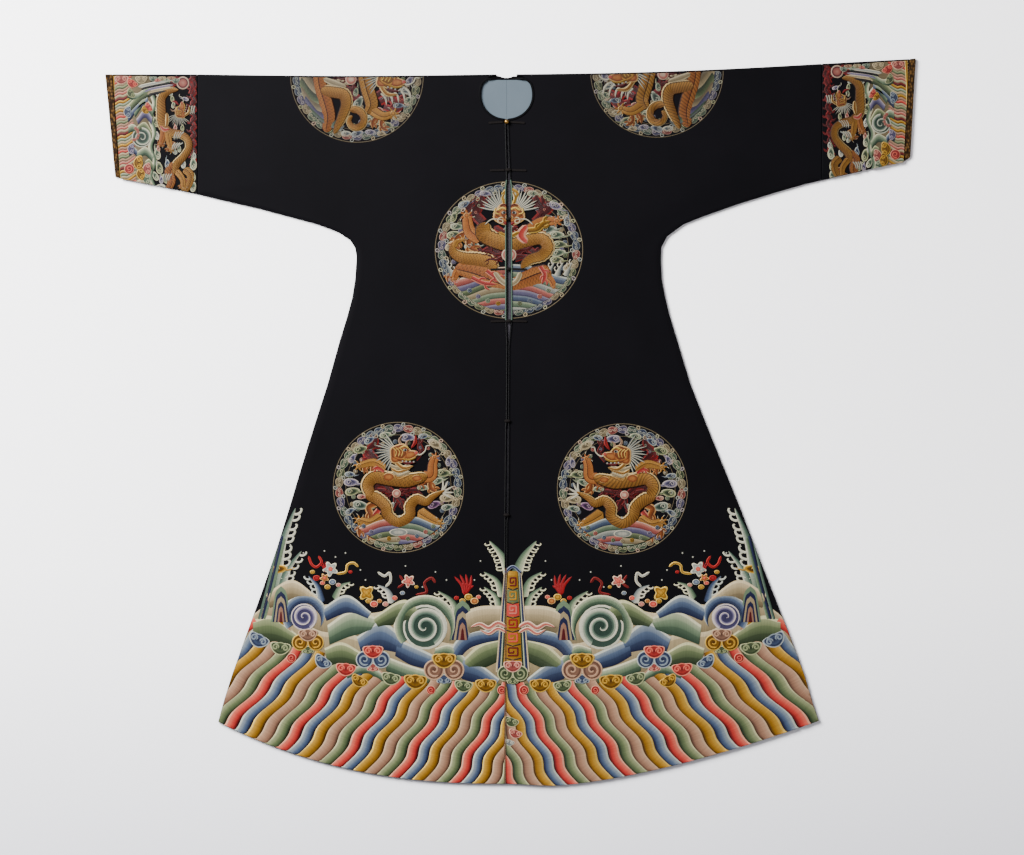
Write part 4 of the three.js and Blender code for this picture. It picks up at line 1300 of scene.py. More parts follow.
# Palette, upper edge and lower edge of each rolling wave
BORDER_WAVES = (
    ("cream", ((-489, -344), (-437, -316), (-386, -350)), ((-481, -372), (-437, -358), (-396, -370))),
    ("blue", ((-376, -372), (-327, -346), (-279, -380)), ((-368, -398), (-329, -384), (-287, -396))),
    ("sea", ((-366, -406), (-317, -376), (-266, -392)), ((-362, -446), (-321, -430), (-281, -420))),
    ("green", ((-372, -452), (-337, -440), (-296, -462)), ((-366, -486), (-333, -488), (-300, -492))),
    ("green", ((-515, -396), (-477, -388), (-427, -424)), ((-515, -440), (-473, -444), (-431, -450))),
    ("green", ((-276, -392), (-217, -356), (-178, -372)), ((-262, -414), (-225, -404), (-190, -404))),
    ("blue", ((-308, -430), (-259, -398), (-211, -434)), ((-298, -462), (-263, -456), (-223, -462))),
    ("sea", ((-249, -468), (-203, -486), (-156, -500)), ((-249, -498), (-209, -514), (-165, -524))),
    ("cream", ((-92, -378), (-57, -368), (-8, -368)), ((-82, -428), (-53, -418), (-8, -414))),
    ("green", ((-99, -478), (-61, -444), (-8, -430)), ((-72, -498), (-42, -488), (-8, -470))),
    ("blue", ((-131, -472), (-93, -424), (-8, -410)), ((-107, -480), (-75, -450), (-8, -436))),
    ("blue", ((-112, -468), (-73, -476), (-22, -514)), ((-97, -514), (-65, -524), (-34, -534))),
    ("blue", ((-225, -434), (-191, -448), (-150, -468)), ((-231, -468), (-199, -486), (-158, -496))),
    ("sea", ((-150, -452), (-120, -446), (-92, -470)), ((-154, -470), (-126, -468), (-100, -492))),
    ("sea", ((-330, -500), (-290, -484), (-246, -508)), ((-326, -514), (-290, -504), (-250, -522))),
)
# x, y, radius, turns, palette, and the palette of the band round it
SPIRALS = ((-171, -410, 45, 2.1, "grey", "sea"), (-413, -390, 27, 1.9, "lavender", "blue"))
WAVE_GROUND_TOP = (
    (-520, -390), (-470, -350), (-437, -330), (-386, -364), (-331, -362), (-281, -382),
    (-217, -368), (-171, -364), (-121, -380), (-71, -376), (-10, -376),
)
WAVE_GROUND_FOOT = (
    (-540, -446), (-480, -470), (-420, -488), (-370, -500), (-320, -512), (-270, -520),
    (-215, -528), (-165, -534), (-121, -538), (-71, -542), (-10, -544),
)
# Line from foot to tip, width, palette, hooks and the side they are on
BORDER_PLUMES = (
    (((-472, -345), (-458, -250), (-430, -172)), 28, "grey", 8, -1),
    (((-460, -330), (-446, -296), (-418, -258)), 22, "grey", 4, -1),
    (((-378, -362), (-386, -330), (-404, -308)), 17, "blue", 3, 1),
    (((-352, -354), (-340, -330), (-320, -320)), 15, "sea", 3, -1),
    (((-236, -362), (-246, -338), (-266, -326)), 17, "bone", 3, 1),
    (((-104, -388), (-118, -358), (-145, -338)), 18, "sea", 4, 1),
    (((-20, -384), (-30, -350), (-53, -330)), 18, "sea", 4, 1),
    (((-16, -350), (-28, -318), (-53, -300)), 18, "sea", 4, 1),
    (((0, -310), (-16, -270), (-42, -238)), 25, "sea", 7, 1),
)


ARCH_PALETTES = ("sea", "navy", "cream", "navy", "mauve", "flame")


def mountain(pen, width, height):
    """A peak of nested arches, each between two edges that meet in a round top, mauve and red inside."""
    for k, palette in enumerate(ARCH_PALETTES):
        w, h = width / 2 * (1 - 0.165 * k), height * (1 - 0.14 * k)
        left = [(-w, 0), (-0.74 * w, 0.5 * h), (-0.52 * w, 0.84 * h), (0, h)]
        right = [(-x, y) for x, y in left]
        pen.sweep(curve(left, 12), curve(right, 12), palette, ((0, 1, 0.6, 0.6),), crown=0.06, layer=1.2 * k)


PILLAR = {"top": PILLAR_TOP, "foot": -500.0, "top_half": 17.0, "foot_half": 34.0}
PILLAR_BANDS = (
    ("cream", 0.0, 0.045, 0.0),
    ("navy", 0.045, 0.125, 0.4),
    ("sea", 0.125, 0.165, 0.0),
    ("green", 0.165, 0.22, 1.0),
)
STRIP_SHARE = 0.22
# Blocks from the top down, each with its silk and its figure's
FRETS = (
    ("gold", "flame"), ("green", "gold"), ("red", "pink"),
    ("gold", "coral"), ("gold", "red"), ("gold", "flame"),
)
# The line of a key fret, in half sizes of its block
KEY_FRET = np.array(
    [(-0.6, -0.5), (0.6, -0.5), (0.6, 0.6), (-0.5, 0.6), (-0.5, -0.1), (0.1, -0.1), (0.1, 0.2)]
)
PILLAR_WISP = ((12, -410), (30, -402), (48, -412), (66, -404), (84, -410))


def pillar(pen):
    """The rock pillar on the axis: upright bands narrowing upwards, blocks of frets between, a peaked cap."""
    y = np.linspace(PILLAR["top"], PILLAR["foot"], 20)
    half = np.linspace(PILLAR["top_half"], PILLAR["foot_half"], 20)
    left, right = np.stack([-half, y], -1), np.stack([half, y], -1)
    for palette, start, end, depth in PILLAR_BANDS:
        for a, b in ((start, end), (1 - end, 1 - start)):
            edge_a, edge_b = left + (right - left) * a, left + (right - left) * b
            pen.sweep(edge_a, edge_b, palette, ((0, 1, depth, depth),), crown=0.15, layer=17)
    strip = left * (1 - 2 * STRIP_SHARE, 1)
    pen.sweep(strip, strip * (-1, 1), "gold", PLAIN, crown=0.15, layer=17)
    steps = np.linspace(PILLAR["top"] - 8, PILLAR["foot"] + 26, len(FRETS) + 1)
    for high, low, (block, figure) in zip(steps[:-1], steps[1:], FRETS):
        inner = (1 - 2 * STRIP_SHARE) * np.interp(high, y[::-1], half[::-1])
        flank = np.array([(-inner, high - 1), (-inner, low + 1)])
        pen.sweep(flank, flank * (-1, 1), block, ((0, 1, 0.4, 0.6),), crown=0.1, layer=19)
        centre, size = (high + low) / 2, np.array((inner, 0.5 * (high - low)))
        for near, far in zip(KEY_FRET[:-1], KEY_FRET[1:]):
            line = [near * size + (0, centre), far * size + (0, centre)]
            pen.trail(line, 3.4, figure, ((0, 1, 0.2, 0.6),), ends="blunt", layer=22, crown=0.1)
        foot = [(-inner, low + 2), (0, low - 2), (inner, low + 2)]
        pen.trail(foot, 2.2, "ink", LINE, ends="blunt", layer=23, crown=0.1)
    cap = [(-16, PILLAR["top"] - 3), (0, PILLAR["top"] + 9), (16, PILLAR["top"] - 3)]
    pen.ribbon(cap, 6, "navy", OUTLINED, layer=21, ends="blunt")
    for sign in (-1, 1):
        wisp = [(x * sign, height) for x, height in PILLAR_WISP]
        pen.ribbon(wisp, (8, 10, 9, 4), "pink", OUTLINED, layer=22)
        pen.ribbon([(x, y - 11) for x, y in wisp[:4]], (6, 8, 3), "pink", OUTLINED, layer=22)
    trefoil(pen.at(0, -500, 27, layer=22), "green", "pink", "green")


def treasures(pen):
    """Things that float above the waves: ribbons, flowers, balls, corals, a cloud and drops of spray."""
    ribbon_rows = (
        (((-266, -300), (-252, -308), (-242, -302), (-240, -318), (-250, -330)), 7, "bone"),
        (((-190, -346), (-168, -340), (-172, -322), (-158, -312), (-150, -322)), 7, "flame"),
        (((-404, -268), (-398, -284), (-388, -290), (-378, -280), (-384, -268)), 7, "coral"),
        (((-348, -304), (-330, -300), (-326, -286), (-314, -282), (-304, -290)), 7, "gold"),
        (((-222, -306), (-214, -322), (-226, -332)), 6, "flame"),
    )
    for points, width, palette in ribbon_rows:
        pen.ribbon(points, 0.72 * width, palette, OUTLINED, crown=0.4)
    flower_rows = (
        (-204, -318, 13, "pink"), (-288, -342, 16, "gold"),
        (-360, -294, 15, "bone"), (-372, -312, 9, "orange"),
    )
    for x, y, size, palette in flower_rows:
        petals = round_outline(0.85, 0.85, 4 if palette == "gold" else 5, 0.28)
        pen.at(x, y, size, 45, layer=2).blob(petals, palette, RINGS, crown=0.6)
        pen.spot(x, y, size * 0.3, "red" if palette != "gold" else "gold", FLAT_RINGS, layer=8)
    ball_rows = (
        (-273, -364, 8, "red"), (-262, -358, 5, "orange"), (-356, -320, 7, "blue"), (-388, -312, 7, "coral"),
        (-84, -350, 8, "gold"), (-72, -358, 8, "orange"), (-96, -358, 6, "gold"), (-176, -352, 6, "blue"),
        (-232, -352, 6, "red"), (-344, -326, 5, "pink"), (-366, -330, 6, "gold"), (-376, -322, 5, "red"),
        (-396, -300, 5, "gold"), (-284, -358, 6, "gold"), (-250, -364, 6, "pink"), (-216, -342, 5, "blue"),
        (-108, -352, 5, "coral"), (-64, -350, 5, "red"), (-188, -330, 4, "gold"), (-320, -300, 4, "coral"),
    )
    for x, y, radius, palette in ball_rows:
        pen.spot(x, y, radius, palette, RINGS, squash=0.8, layer=2)
    for x, y, size in ((-92, -346, 1.0), (-372, -300, 0.5)):
        for turn in (-22, -6, 10, 26):
            twig = pen.at(x, y, size, turn, layer=1)
            twig.ribbon([(0, 0), (4, 20), (-2, 42)], (7, 6, 4), "coral", PLAIN, crown=0.5, count=8)
            twig.ribbon([(2, 14), (10, 24)], (6, 4), "coral", PLAIN, crown=0.4, count=5)
    cloud(pen.at(-462, -294, 15, 8, layer=2), "gold")
    drop_x = np.array([-28, -60, -72, -128, -150, -176, -210, -290, -300, -330, -350, -372, -414, -440])
    drop_y = np.array([-286, -278, -316, -316, -300, -330, -288, -316, -296, -262, -270, -258, -262, -246])
    for x, y in zip(drop_x, drop_y):
        pen.spot(x, y, 1.6, "bone", FLAT_RINGS)


def border_half(pen):
    """One half of the hem border, drawn left of its axis: stripes, treasures, waves, peaks and heads."""
    standing_water(pen)
    treasures(pen.at(0, 0, layer=1))
    for points, width, palette, hooks, side in BORDER_PLUMES:
        plume(pen.at(0, 0, layer=2), points, width, palette, hooks, side)
    ground = pen.at(0, 0, layer=4)
    rolls = ((0, 0.07, -1, 0), (0.07, 0.4, 0.3, 0.8), (0.4, 0.47, -1, 0), (0.47, 1, 0.4, 1))
    ground.sweep(curve(WAVE_GROUND_TOP, 60), curve(WAVE_GROUND_FOOT, 60), "cream", rolls)
    mountain(pen.at(-459, -400, layer=14), 40, 72)
    mountain(pen.at(-96, -436, layer=10), 52, 80)
    for palette, upper, lower in BORDER_WAVES:
        wave(pen.at(0, 0, layer=8), upper, lower, palette)
    for x, y, radius, turns, palette, collar in SPIRALS:
        rolling_spiral(pen.at(x, y, radius, 10, layer=11), palette, turns)
        arc = spiral(x, y, radius + 7, radius + 11, 215, -0.68, 40)
        pen.trail(arc, 20, collar, ROLLED, ends="pointed", layer=9, crown=0.7)
    for edge, silk in ((0, "grey"), (6, "navy"), (11, "sea")):
        line = [(-463 + edge, -222 - edge), (-478 + edge, -296), (-490 + edge, -345), (-503 + edge, -394)]
        pen.ribbon(line, 5, silk, ((0, 1, 0.4, 0.9),), ends="blunt", layer=11, crown=0.3)
    for x, y, width, turn, palette, hooked in STRIPE_HEADS:
        head = pen.at(x, y, width / 2, turn, layer=12)
        (hook_head if hooked else cloud_head)(head, palette)
    for x, y, width, lobes, cap, foot in TREFOILS:
        trefoil(pen.at(x, y, width / 2.2, layer=13), lobes, cap, foot)


def build_border(side):
    """The hem border of one front, cut off at the opening, the side and the hem."""
    threads = front_threads(side, HEM_TONE, HEM_STRETCH[side])
    pen = Pen(threads)
    if side == "left":
        border_half(pen.at(2 * BORDER_AXIS, 0, mirror=True))
        for x, y, size, palette in ((2, -598, 15, "green"), (10, -622, 14, "pink"), (-2, -640, 10, "bone")):
            cloud_head(pen.at(x, y, size, -20, layer=12), palette)
    else:
        border_half(pen)
    pillar(pen.at(BORDER_AXIS - 0.5, 0))
    return threads.build(f"{side}_hem_border")


def skirt_dragon(pen):
    """A dragon in profile within a circle of radius 1: body in an S round its pearl, clouds and fire."""
    clouds(pen.at(0, 0, layer=1), (
        (-0.58, 0.58, 0.1, 10, "green"), (-0.7, 0.44, 0.07, 60, "lavender"), (-0.74, 0.2, 0.07, 0, "blue"),
        (-0.72, 0.08, 0.1, 0, "lavender"), (-0.7, -0.06, 0.1, 10, "green"), (-0.58, -0.27, 0.11, -10, "grey"),
        (-0.74, -0.36, 0.07, 30, "blue"), (0.68, 0.22, 0.1, 0, "green"), (0.6, 0.1, 0.08, 20, "sea"),
        (0.36, 0.0, 0.08, 0, "sea"), (0.54, -0.26, 0.09, 20, "purple"), (0.74, -0.16, 0.1, 0, "cream"),
        (0.74, -0.3, 0.08, 10, "grey"), (0.14, 0.76, 0.1, 0, "lavender"), (0.56, 0.66, 0.1, -30, "cream"),
        (-0.2, 0.8, 0.08, 10, "sea"), (0.38, 0.78, 0.07, 10, "blue"), (-0.44, 0.72, 0.08, 30, "blue"),
        (0.76, 0.4, 0.07, 80, "lavender"), (-0.1, -0.28, 0.06, 60, "bone"), (-0.56, -0.14, 0.06, 0, "pink"),
    ))
    spray(pen.at(0, 0), 0.75, 0.05, -28, 208, 30)
    roundel_sea(pen.at(0, 0, layer=9), top=-0.46)
    fires = pen.at(0, 0, layer=2)
    flame(fires, [(-0.34, 0.42), (-0.44, 0.56), (-0.36, 0.68), (-0.34, 0.82)], 0.16)
    flame(fires, [(-0.4, 0.42), (-0.5, 0.5), (-0.46, 0.62)], 0.12, "coral")
    flame(fires, [(0.26, 0.42), (0.36, 0.56), (0.3, 0.7), (0.36, 0.78)], 0.08)
    for sign in (-1, 1):
        side = pen.at(-0.03, -0.04, 1, mirror=sign < 0, layer=2)
        flame(side, [(0.06, -0.02), (0.2, 0.08), (0.36, 0.06), (0.48, 0.14)], 0.11)
        flame(side, [(0.06, -0.06), (0.22, 0.0), (0.38, 0.0)], 0.09)
    for turn in (250, 290):
        flame(pen.at(-0.03, -0.1, 1, turn, layer=2), [(0.05, 0), (0.16, 0.03), (0.26, 0)], 0.09)
    fires = pen.at(0, 0, layer=4)
    flame(fires, [(-0.34, -0.24), (-0.46, -0.3), (-0.42, -0.42), (-0.46, -0.52)], 0.14, "orange")
    flame(fires, [(-0.3, -0.34), (-0.38, -0.46), (-0.34, -0.58)], 0.12, "red")
    haunch = [(-0.3, -0.5), (-0.1, -0.58), (0.12, -0.6), (0.36, -0.5)]
    body(pen, haunch, (0.14, 0.2, 0.2, 0.14), "orange", BELLIED)
    limb(pen, [(-0.24, -0.44), (-0.42, -0.54), (-0.6, -0.5)], 0.2, 0.09, 70, layer=5)
    limb(pen, [(0.3, -0.36), (0.46, -0.46), (0.62, -0.54)], 0.2, 0.09, -90, layer=5)
    tail = [
        (-0.5, -0.12), (-0.34, -0.16), (-0.2, -0.28), (-0.16, -0.42), (0.0, -0.53), (0.17, -0.43),
        (0.18, -0.28), (0.28, -0.18), (0.42, -0.22), (0.52, -0.14), (0.7, -0.04),
    ]
    girth = (0.18, 0.2, 0.19, 0.18, 0.17, 0.17, 0.18, 0.16, 0.13, 0.1, 0.05)
    body(pen, tail, girth, layer=11, bumps=40)
    for turn in (-50, -20, 10, 45, 70):
        hair = pen.at(0.66, -0.06, 1, turn, layer=6)
        hair.ribbon([(0, 0), (0.08, 0.01), (0.18, 0.05)], 0.03, "bone", LINE, ends="pointed", count=6)
    limb(pen, [(0.36, 0.16), (0.5, 0.18), (0.52, 0.34), (0.55, 0.46)], 0.2, 0.085, -10, "orange", layer=5)
    chest = [(-0.42, -0.12), (-0.47, 0.04), (-0.36, 0.16), (-0.12, 0.13), (0.14, 0.11), (0.44, 0.18)]
    body(pen, chest, (0.18, 0.21, 0.22, 0.23, 0.23, 0.16), "ochre", SPINED, layer=12)
    pen.spot(-0.15, 0.16, 0.1, "orange", RINGS, squash=0.7, layer=16)
    pen.spot(0.28, 0.14, 0.09, "orange", RINGS, squash=0.6, layer=16)
    for k in range(4):
        ruff = [(-0.14 + 0.03 * k, 0.34 - 0.05 * k), (0.0, 0.3 - 0.06 * k), (0.18, 0.34 - 0.05 * k)]
        pen.ribbon(ruff, 0.05, ("cream", "ochre")[k % 2], OUTLINED, layer=16)
    limb(pen, [(-0.2, 0.28), (-0.38, 0.38), (-0.6, 0.33)], 0.16, 0.09, 90, layer=13)
    flame(pen.at(0, 0, layer=16), [(-0.22, 0.24), (-0.3, 0.3), (-0.4, 0.28)], 0.08, "red")
    pearl(pen.at(-0.03, -0.09, 0.065, layer=8))
    head_in_profile(pen.at(0.03, 0.52, 0.235, 2, layer=16))


def chest_dragon(pen):
    """A dragon from the front within a circle of radius 1: face at the top, body looped round the pearl."""
    clouds(pen.at(0, 0, layer=1), (
        (-0.7, 0.34, 0.08, 0, "sea"), (-0.74, 0.22, 0.09, 10, "green"), (-0.5, 0.06, 0.09, 10, "grey"),
        (-0.58, 0.16, 0.06, 0, "lavender"), (0.52, 0.3, 0.1, 10, "grey"), (0.64, 0.22, 0.09, 0, "sea"),
        (0.68, 0.08, 0.09, 0, "green"), (0.66, -0.04, 0.09, 10, "sea"), (0.64, -0.14, 0.08, 0, "green"),
        (0.62, 0.64, 0.09, -20, "lavender"), (-0.6, 0.66, 0.08, 30, "blue"), (-0.8, 0.06, 0.07, 60, "cream"),
        (0.32, 0.82, 0.07, 0, "sea"), (-0.32, 0.82, 0.07, 0, "lavender"), (0.78, 0.42, 0.07, 90, "blue"),
        (-0.74, 0.48, 0.07, 70, "green"), (0.8, -0.24, 0.07, 30, "cream"), (0.5, 0.0, 0.05, 0, "pink"),
    ))
    spray(pen.at(0, 0), 0.76, 0.05, -20, 200, 32)
    roundel_sea(pen.at(0, 0, layer=2), 0.88, -0.24, 8)
    for x, side in ((-0.8, -1), (0.56, 1), (0.68, 1), (0.8, 1)):
        crest = [(x * 0.95, -0.38), (x, -0.28), (x + 0.05 * side, -0.18)]
        plume(pen.at(0, 0, layer=3), crest, 0.09, "bone", 2, side)
    fires = pen.at(0, 0, layer=2)
    for sign in (-1, 1):
        side = fires.at(0, 0, mirror=sign < 0)
        flame(side, [(0.36, 0.4), (0.46, 0.54), (0.38, 0.68), (0.36, 0.82)], 0.2)
        flame(side, [(0.42, 0.5), (0.54, 0.6), (0.5, 0.72)], 0.16)
        flame(side, [(0.08, -0.08), (0.24, 0.02), (0.36, -0.04), (0.42, 0.02)], 0.12)
        flame(side, [(0.08, -0.14), (0.22, -0.1), (0.34, -0.14)], 0.1)
    tail = [(-0.76, 0.1), (-0.74, -0.04), (-0.6, -0.12), (-0.42, -0.14), (-0.26, -0.18), (-0.2, -0.3)]
    body(pen, tail, (0.07, 0.14, 0.2, 0.22, 0.2, 0.14), layer=5, bumps=20)
    left_coil = [(-0.72, -0.26), (-0.46, -0.32), (-0.22, -0.42), (0.0, -0.52)]
    body(pen, left_coil, (0.18, 0.28, 0.3, 0.2), "orange", BELLIED)
    right_coil = [(0.56, -0.3), (0.36, -0.38), (0.18, -0.46), (0.0, -0.54)]
    body(pen, right_coil, (0.22, 0.3, 0.28, 0.18), "orange", BELLIED)
    cradle = [(-0.2, -0.32), (-0.1, -0.45), (0.0, -0.5), (0.1, -0.45), (0.16, -0.32)]
    pen.ribbon(cradle, 0.07, "cream", OUTLINED, layer=14)
    tongues = (
        [(-0.5, -0.4), (-0.34, -0.48), (-0.16, -0.5)],
        [(0.42, -0.24), (0.48, -0.36), (0.44, -0.5)],
        [(-0.3, -0.3), (-0.2, -0.38), (-0.08, -0.44)],
    )
    for points in tongues:
        flame(pen.at(0, 0, layer=12), points, 0.09, "red")
    limb(pen, [(-0.6, -0.2), (-0.7, -0.32), (-0.74, -0.42)], 0.14, 0.06, 160, "orange", layer=4)
    limb(pen, [(0.44, -0.34), (0.56, -0.44), (0.6, -0.54)], 0.14, 0.06, 200, "orange", layer=4)
    limb(pen, [(-0.74, 0.04), (-0.7, 0.12), (-0.62, 0.15)], 0.09, 0.06, -30, "ochre", layer=8)
    limb(pen, [(-0.36, 0.16), (-0.52, 0.26), (-0.57, 0.5)], 0.22, 0.095, 10, "orange", layer=5)
    limb(pen, [(0.26, 0.26), (0.44, 0.4), (0.64, 0.42)], 0.2, 0.095, -70, "orange", layer=5)
    loop = [(-0.3, 0.4), (-0.34, 0.24), (-0.18, 0.14), (0.02, 0.08), (0.26, 0.14), (0.44, 0.16), (0.52, 0.04),
            (0.44, -0.08), (0.28, -0.14), (0.16, -0.26)]
    girth = (0.2, 0.25, 0.25, 0.22, 0.2, 0.19, 0.18, 0.17, 0.15, 0.1)
    body(pen, loop, girth, "ochre", SPINED, layer=9, bumps=30)
    pen.ribbon([(-0.2, 0.34), (-0.05, 0.26), (0.12, 0.34)], 0.09, "flame", OUTLINED, layer=17)
    pen.ribbon([(-0.14, 0.26), (0.0, 0.2), (0.14, 0.26)], 0.06, "gold", OUTLINED, layer=18)
    pen.ribbon([(0.24, 0.36), (0.16, 0.22), (0.24, 0.1)], (0.08, 0.14, 0.08), "red", OUTLINED, layer=17)
    flame(pen.at(0, 0, layer=18), [(0.26, 0.28), (0.38, 0.3), (0.46, 0.38), (0.56, 0.42)], 0.12, "gold")
    pearl(pen.at(0.0, -0.07, 0.1, layer=10))
    head_from_front(pen.at(0.0, 0.52, 0.25, layer=18))
    pen.ribbon([(-0.1, 0.8), (0.0, 0.88), (0.12, 0.82), (0.08, 0.74)], 0.05, "gold", OUTLINED, layer=17)


def shoulder_dragon(pen):
    """The front half of a shoulder roundel: body and leg on its outer side, tail curl, neck, head and paw."""
    clouds(pen.at(0, 0, layer=1), (
        (0.02, -0.4, 0.1, 60, "grey"), (0.22, -0.66, 0.12, -10, "sea"), (-0.26, -0.1, 0.09, 0, "cream"),
        (0.72, -0.22, 0.08, -30, "bone"), (0.44, -0.74, 0.09, 0, "green"), (0.0, -0.86, 0.08, 20, "blue"),
        (0.78, -0.08, 0.08, 60, "lavender"), (-0.16, -0.86, 0.07, 0, "bone"), (0.62, -0.44, 0.08, 0, "blue"),
        (0.2, -0.84, 0.07, 0, "lavender"), (0.36, -0.86, 0.06, 0, "cream"), (0.32, -0.5, 0.06, 0, "pink"),
        (-0.02, -0.24, 0.07, 80, "sea"), (0.76, -0.36, 0.07, 30, "sea"), (0.6, -0.62, 0.07, 0, "cream"),
    ))
    sea_rows = (
        ("cream", (-0.9, -0.02), (-0.72, -0.24), (-0.56, -0.32)),
        ("green", (-0.9, -0.14), (-0.72, -0.4), (-0.54, -0.44)),
        ("cream", (-0.9, -0.28), (-0.7, -0.54), (-0.52, -0.58)),
        ("lavender", (-0.84, -0.42), (-0.64, -0.66), (-0.48, -0.7)),
        ("sea", (-0.8, -0.56), (-0.56, -0.78), (-0.4, -0.82)),
        ("bone", (-0.7, -0.7), (-0.46, -0.88), (-0.28, -0.9)),
    )
    spray(pen.at(0, 0), 0.74, 0.05, 250, 356, 14)
    spray(pen.at(0, 0), 0.5, 0.05, 265, 330, 6)
    sea = pen.at(0, 0, 1, limit=0.86, layer=2)
    for k, (palette, outer, middle, inner) in enumerate(sea_rows):
        upper = [outer, middle, inner]
        wave(sea, upper, [(x + 0.1, y + 0.16) for x, y in upper], palette, layer=0.5 * k)
    fires = pen.at(0, 0, layer=2)
    flame(fires, [(0.34, -0.38), (0.48, -0.32), (0.6, -0.4), (0.76, -0.36)], 0.18, "coral")
    flame(fires, [(0.4, -0.46), (0.56, -0.5), (0.7, -0.46)], 0.14, "coral")
    flame(fires, [(-0.08, -0.2), (-0.04, -0.3), (0.04, -0.34)], 0.14, "coral")
    flame(fires, [(0.28, -0.3), (0.44, -0.22), (0.6, -0.26)], 0.14)
    flame(fires, [(-0.2, -0.14), (-0.1, -0.22), (0.02, -0.16)], 0.12)
    flank = [(-0.57, 0.04), (-0.54, -0.16), (-0.46, -0.42), (-0.42, -0.62), (-0.46, -0.84)]
    body(pen, flank, (0.2, 0.21, 0.22, 0.21, 0.14), "orange", BELLIED)
    back = [(-0.54, -0.22), (-0.36, -0.24), (-0.2, -0.28), (-0.16, -0.42), (-0.22, -0.6), (-0.34, -0.86)]
    body(pen, back, (0.18, 0.19, 0.2, 0.18, 0.15, 0.09), "ochre", SPINED, layer=6, bumps=24)
    pen.ribbon([(-0.5, -0.04), (-0.36, -0.1), (-0.16, -0.16)], (0.06, 0.1, 0.05), "cream", OUTLINED, layer=10)
    curl = spiral(-0.03, -0.66, 0.17, 0.07, 120, -1.0, 26)
    pen.trail(curl, (0.13, 0.12, 0.06), "ochre", SPINED, layer=5, crown=0.8, scales=0.5)
    neck = [(0.1, 0.04), (0.16, -0.2), (0.22, -0.42), (0.16, -0.56)]
    body(pen, neck, (0.21, 0.22, 0.21, 0.14), "ochre", BELLIED, layer=5)
    limb(pen, [(0.18, -0.48), (0.38, -0.6), (0.54, -0.56)], 0.17, 0.1, -80, "ochre", layer=6)
    pearl(pen.at(-0.09, -0.05, 0.085, layer=4))
    head_in_profile(pen.at(0.46, -0.04, 0.24, -12, layer=10), "ochre")
    for k in range(5):
        hair = pen.at(0.36 + 0.09 * k, -0.26 + 0.02 * k, 1, -60, layer=8)
        hair.ribbon([(0, 0), (0.1, 0.02), (0.2, -0.02)], 0.03, "bone", LINE, ends="pointed", count=7)


# Roundels: name, side, x, y, and whether the drawing is mirrored
SKIRT_ROUNDELS = (
    ("right_skirt_roundel", "right", -224, -131, False),
    ("left_skirt_roundel", "left", 224, -134, True),
)
CHEST = {"x": -3.0, "y": 344.0, "half_width": 149.0, "half_height": 138.0}
SHOULDER_ROUNDELS = (
    ("right_shoulder_roundel", "right", -307, 692, False),
    ("left_shoulder_roundel", "left", 293, 702, True),
)
SKIRT_RADIUS, SHOULDER_RADIUS = 131.6, 134.0


def build_skirt_roundels():
    """The two dragons in profile on the skirt, one the mirrored drawing of the other."""
    for name, side, x, y, mirrored in SKIRT_ROUNDELS:
        threads = front_threads(side, SKIRT_TONE)
        pen = Pen(threads).at(x, y, SKIRT_RADIUS, 0, mirrored)
        scroll_ring(pen.at(0, 0, layer=1, tone=RING_TONE))
        skirt_dragon(pen)
        threads.build(name)


def build_chest_roundel():
    """The chest roundel is cut at the opening: each front keeps its own part of the same drawing."""
    for side in SIDE_SIGN:
        threads = front_threads(side, CHEST_TONE)
        pen = Pen(threads, np.diag([CHEST["half_width"], CHEST["half_height"]]), (CHEST["x"], CHEST["y"]))
        scroll_ring(pen.at(0, 0, layer=1, tone=RING_TONE), 42)
        chest_dragon(pen)
        threads.build(f"{side}_chest_roundel")


def build_shoulder_roundels():
    """The front halves of the shoulder roundels, which run on over the fold."""
    for name, side, x, y, mirrored in SHOULDER_ROUNDELS:
        threads = front_threads(side, SHOULDER_TONE)
        pen = Pen(threads).at(x, y, SHOULDER_RADIUS, 0, mirrored)
        scroll_ring(pen.at(0, 0, layer=1, tone=RING_TONE), 19, start=180.0, stop=360.0)
        shoulder_dragon(pen)
        threads.build(name)


BAND_FOLD_MARGIN, BAND_MARGIN = 3.8, 1.0


def keep_in_band(corners):
    """Keeps stitches on a cuff band: between its seams, under the fold and above the sleeve's underside."""
    inner, outer = corners["top_in"], corners["top_out"]
    foot_in, foot_out = corners["bottom_in"], corners["bottom_out"]
    sign = math.copysign(1, outer[0])

    def keep(x, y):
        share = np.clip((x - inner[0]) / (outer[0] - inner[0]), 0, 1)
        top = inner[1] + (outer[1] - inner[1]) * share - BAND_FOLD_MARGIN
        foot = foot_in[1] + (foot_out[1] - foot_in[1]) * share + BAND_MARGIN
        y = np.clip(y, foot, top)
        depth = np.clip((top - y) / (top - foot), 0, 1)
        near = inner[0] + sign * BAND_MARGIN
        far = outer[0] + (foot_out[0] - outer[0]) * depth - sign * BAND_MARGIN
        return np.clip(x, np.minimum(near, far), np.maximum(near, far)), y

    return keep


CUFF_STRIPE_ORDER = (
    "cream", "gold", "mauve", "red", "cream", "green", "mauve", "pink", "cream", "flame", "gold", "sea",
)
# Grounds: x down the outer and the inner edge at four heights, palette, depth and layer
CUFF_GROUND_Y = (4, -80, -150, -240)
CUFF_GROUNDS = {
    "stripes": ((171, 171, 166, 158), (132, 130, 128, 122), "mauve", 0.9, 0),
    "waves": ((136, 138, 130, 124), (94, 92, 92, 90), "cream", 0.8, 3),
}
CUFF_PEARL_RINGS = ((1, 0.8, -1, -1), (0.8, 0.6, 1, 1), (0.6, 0, 0.6, 0))


def cuff_ground(pen, outer, inner, palette, depth, layer):
    """A plain ground between two smooth lines down the cuff."""
    edges = [curve(list(zip(xs, CUFF_GROUND_Y)), 20) for xs in (outer, inner)]
    pen.at(0, 0, layer=layer).sweep(*edges, palette, ((0, 1, depth, 1.0),))


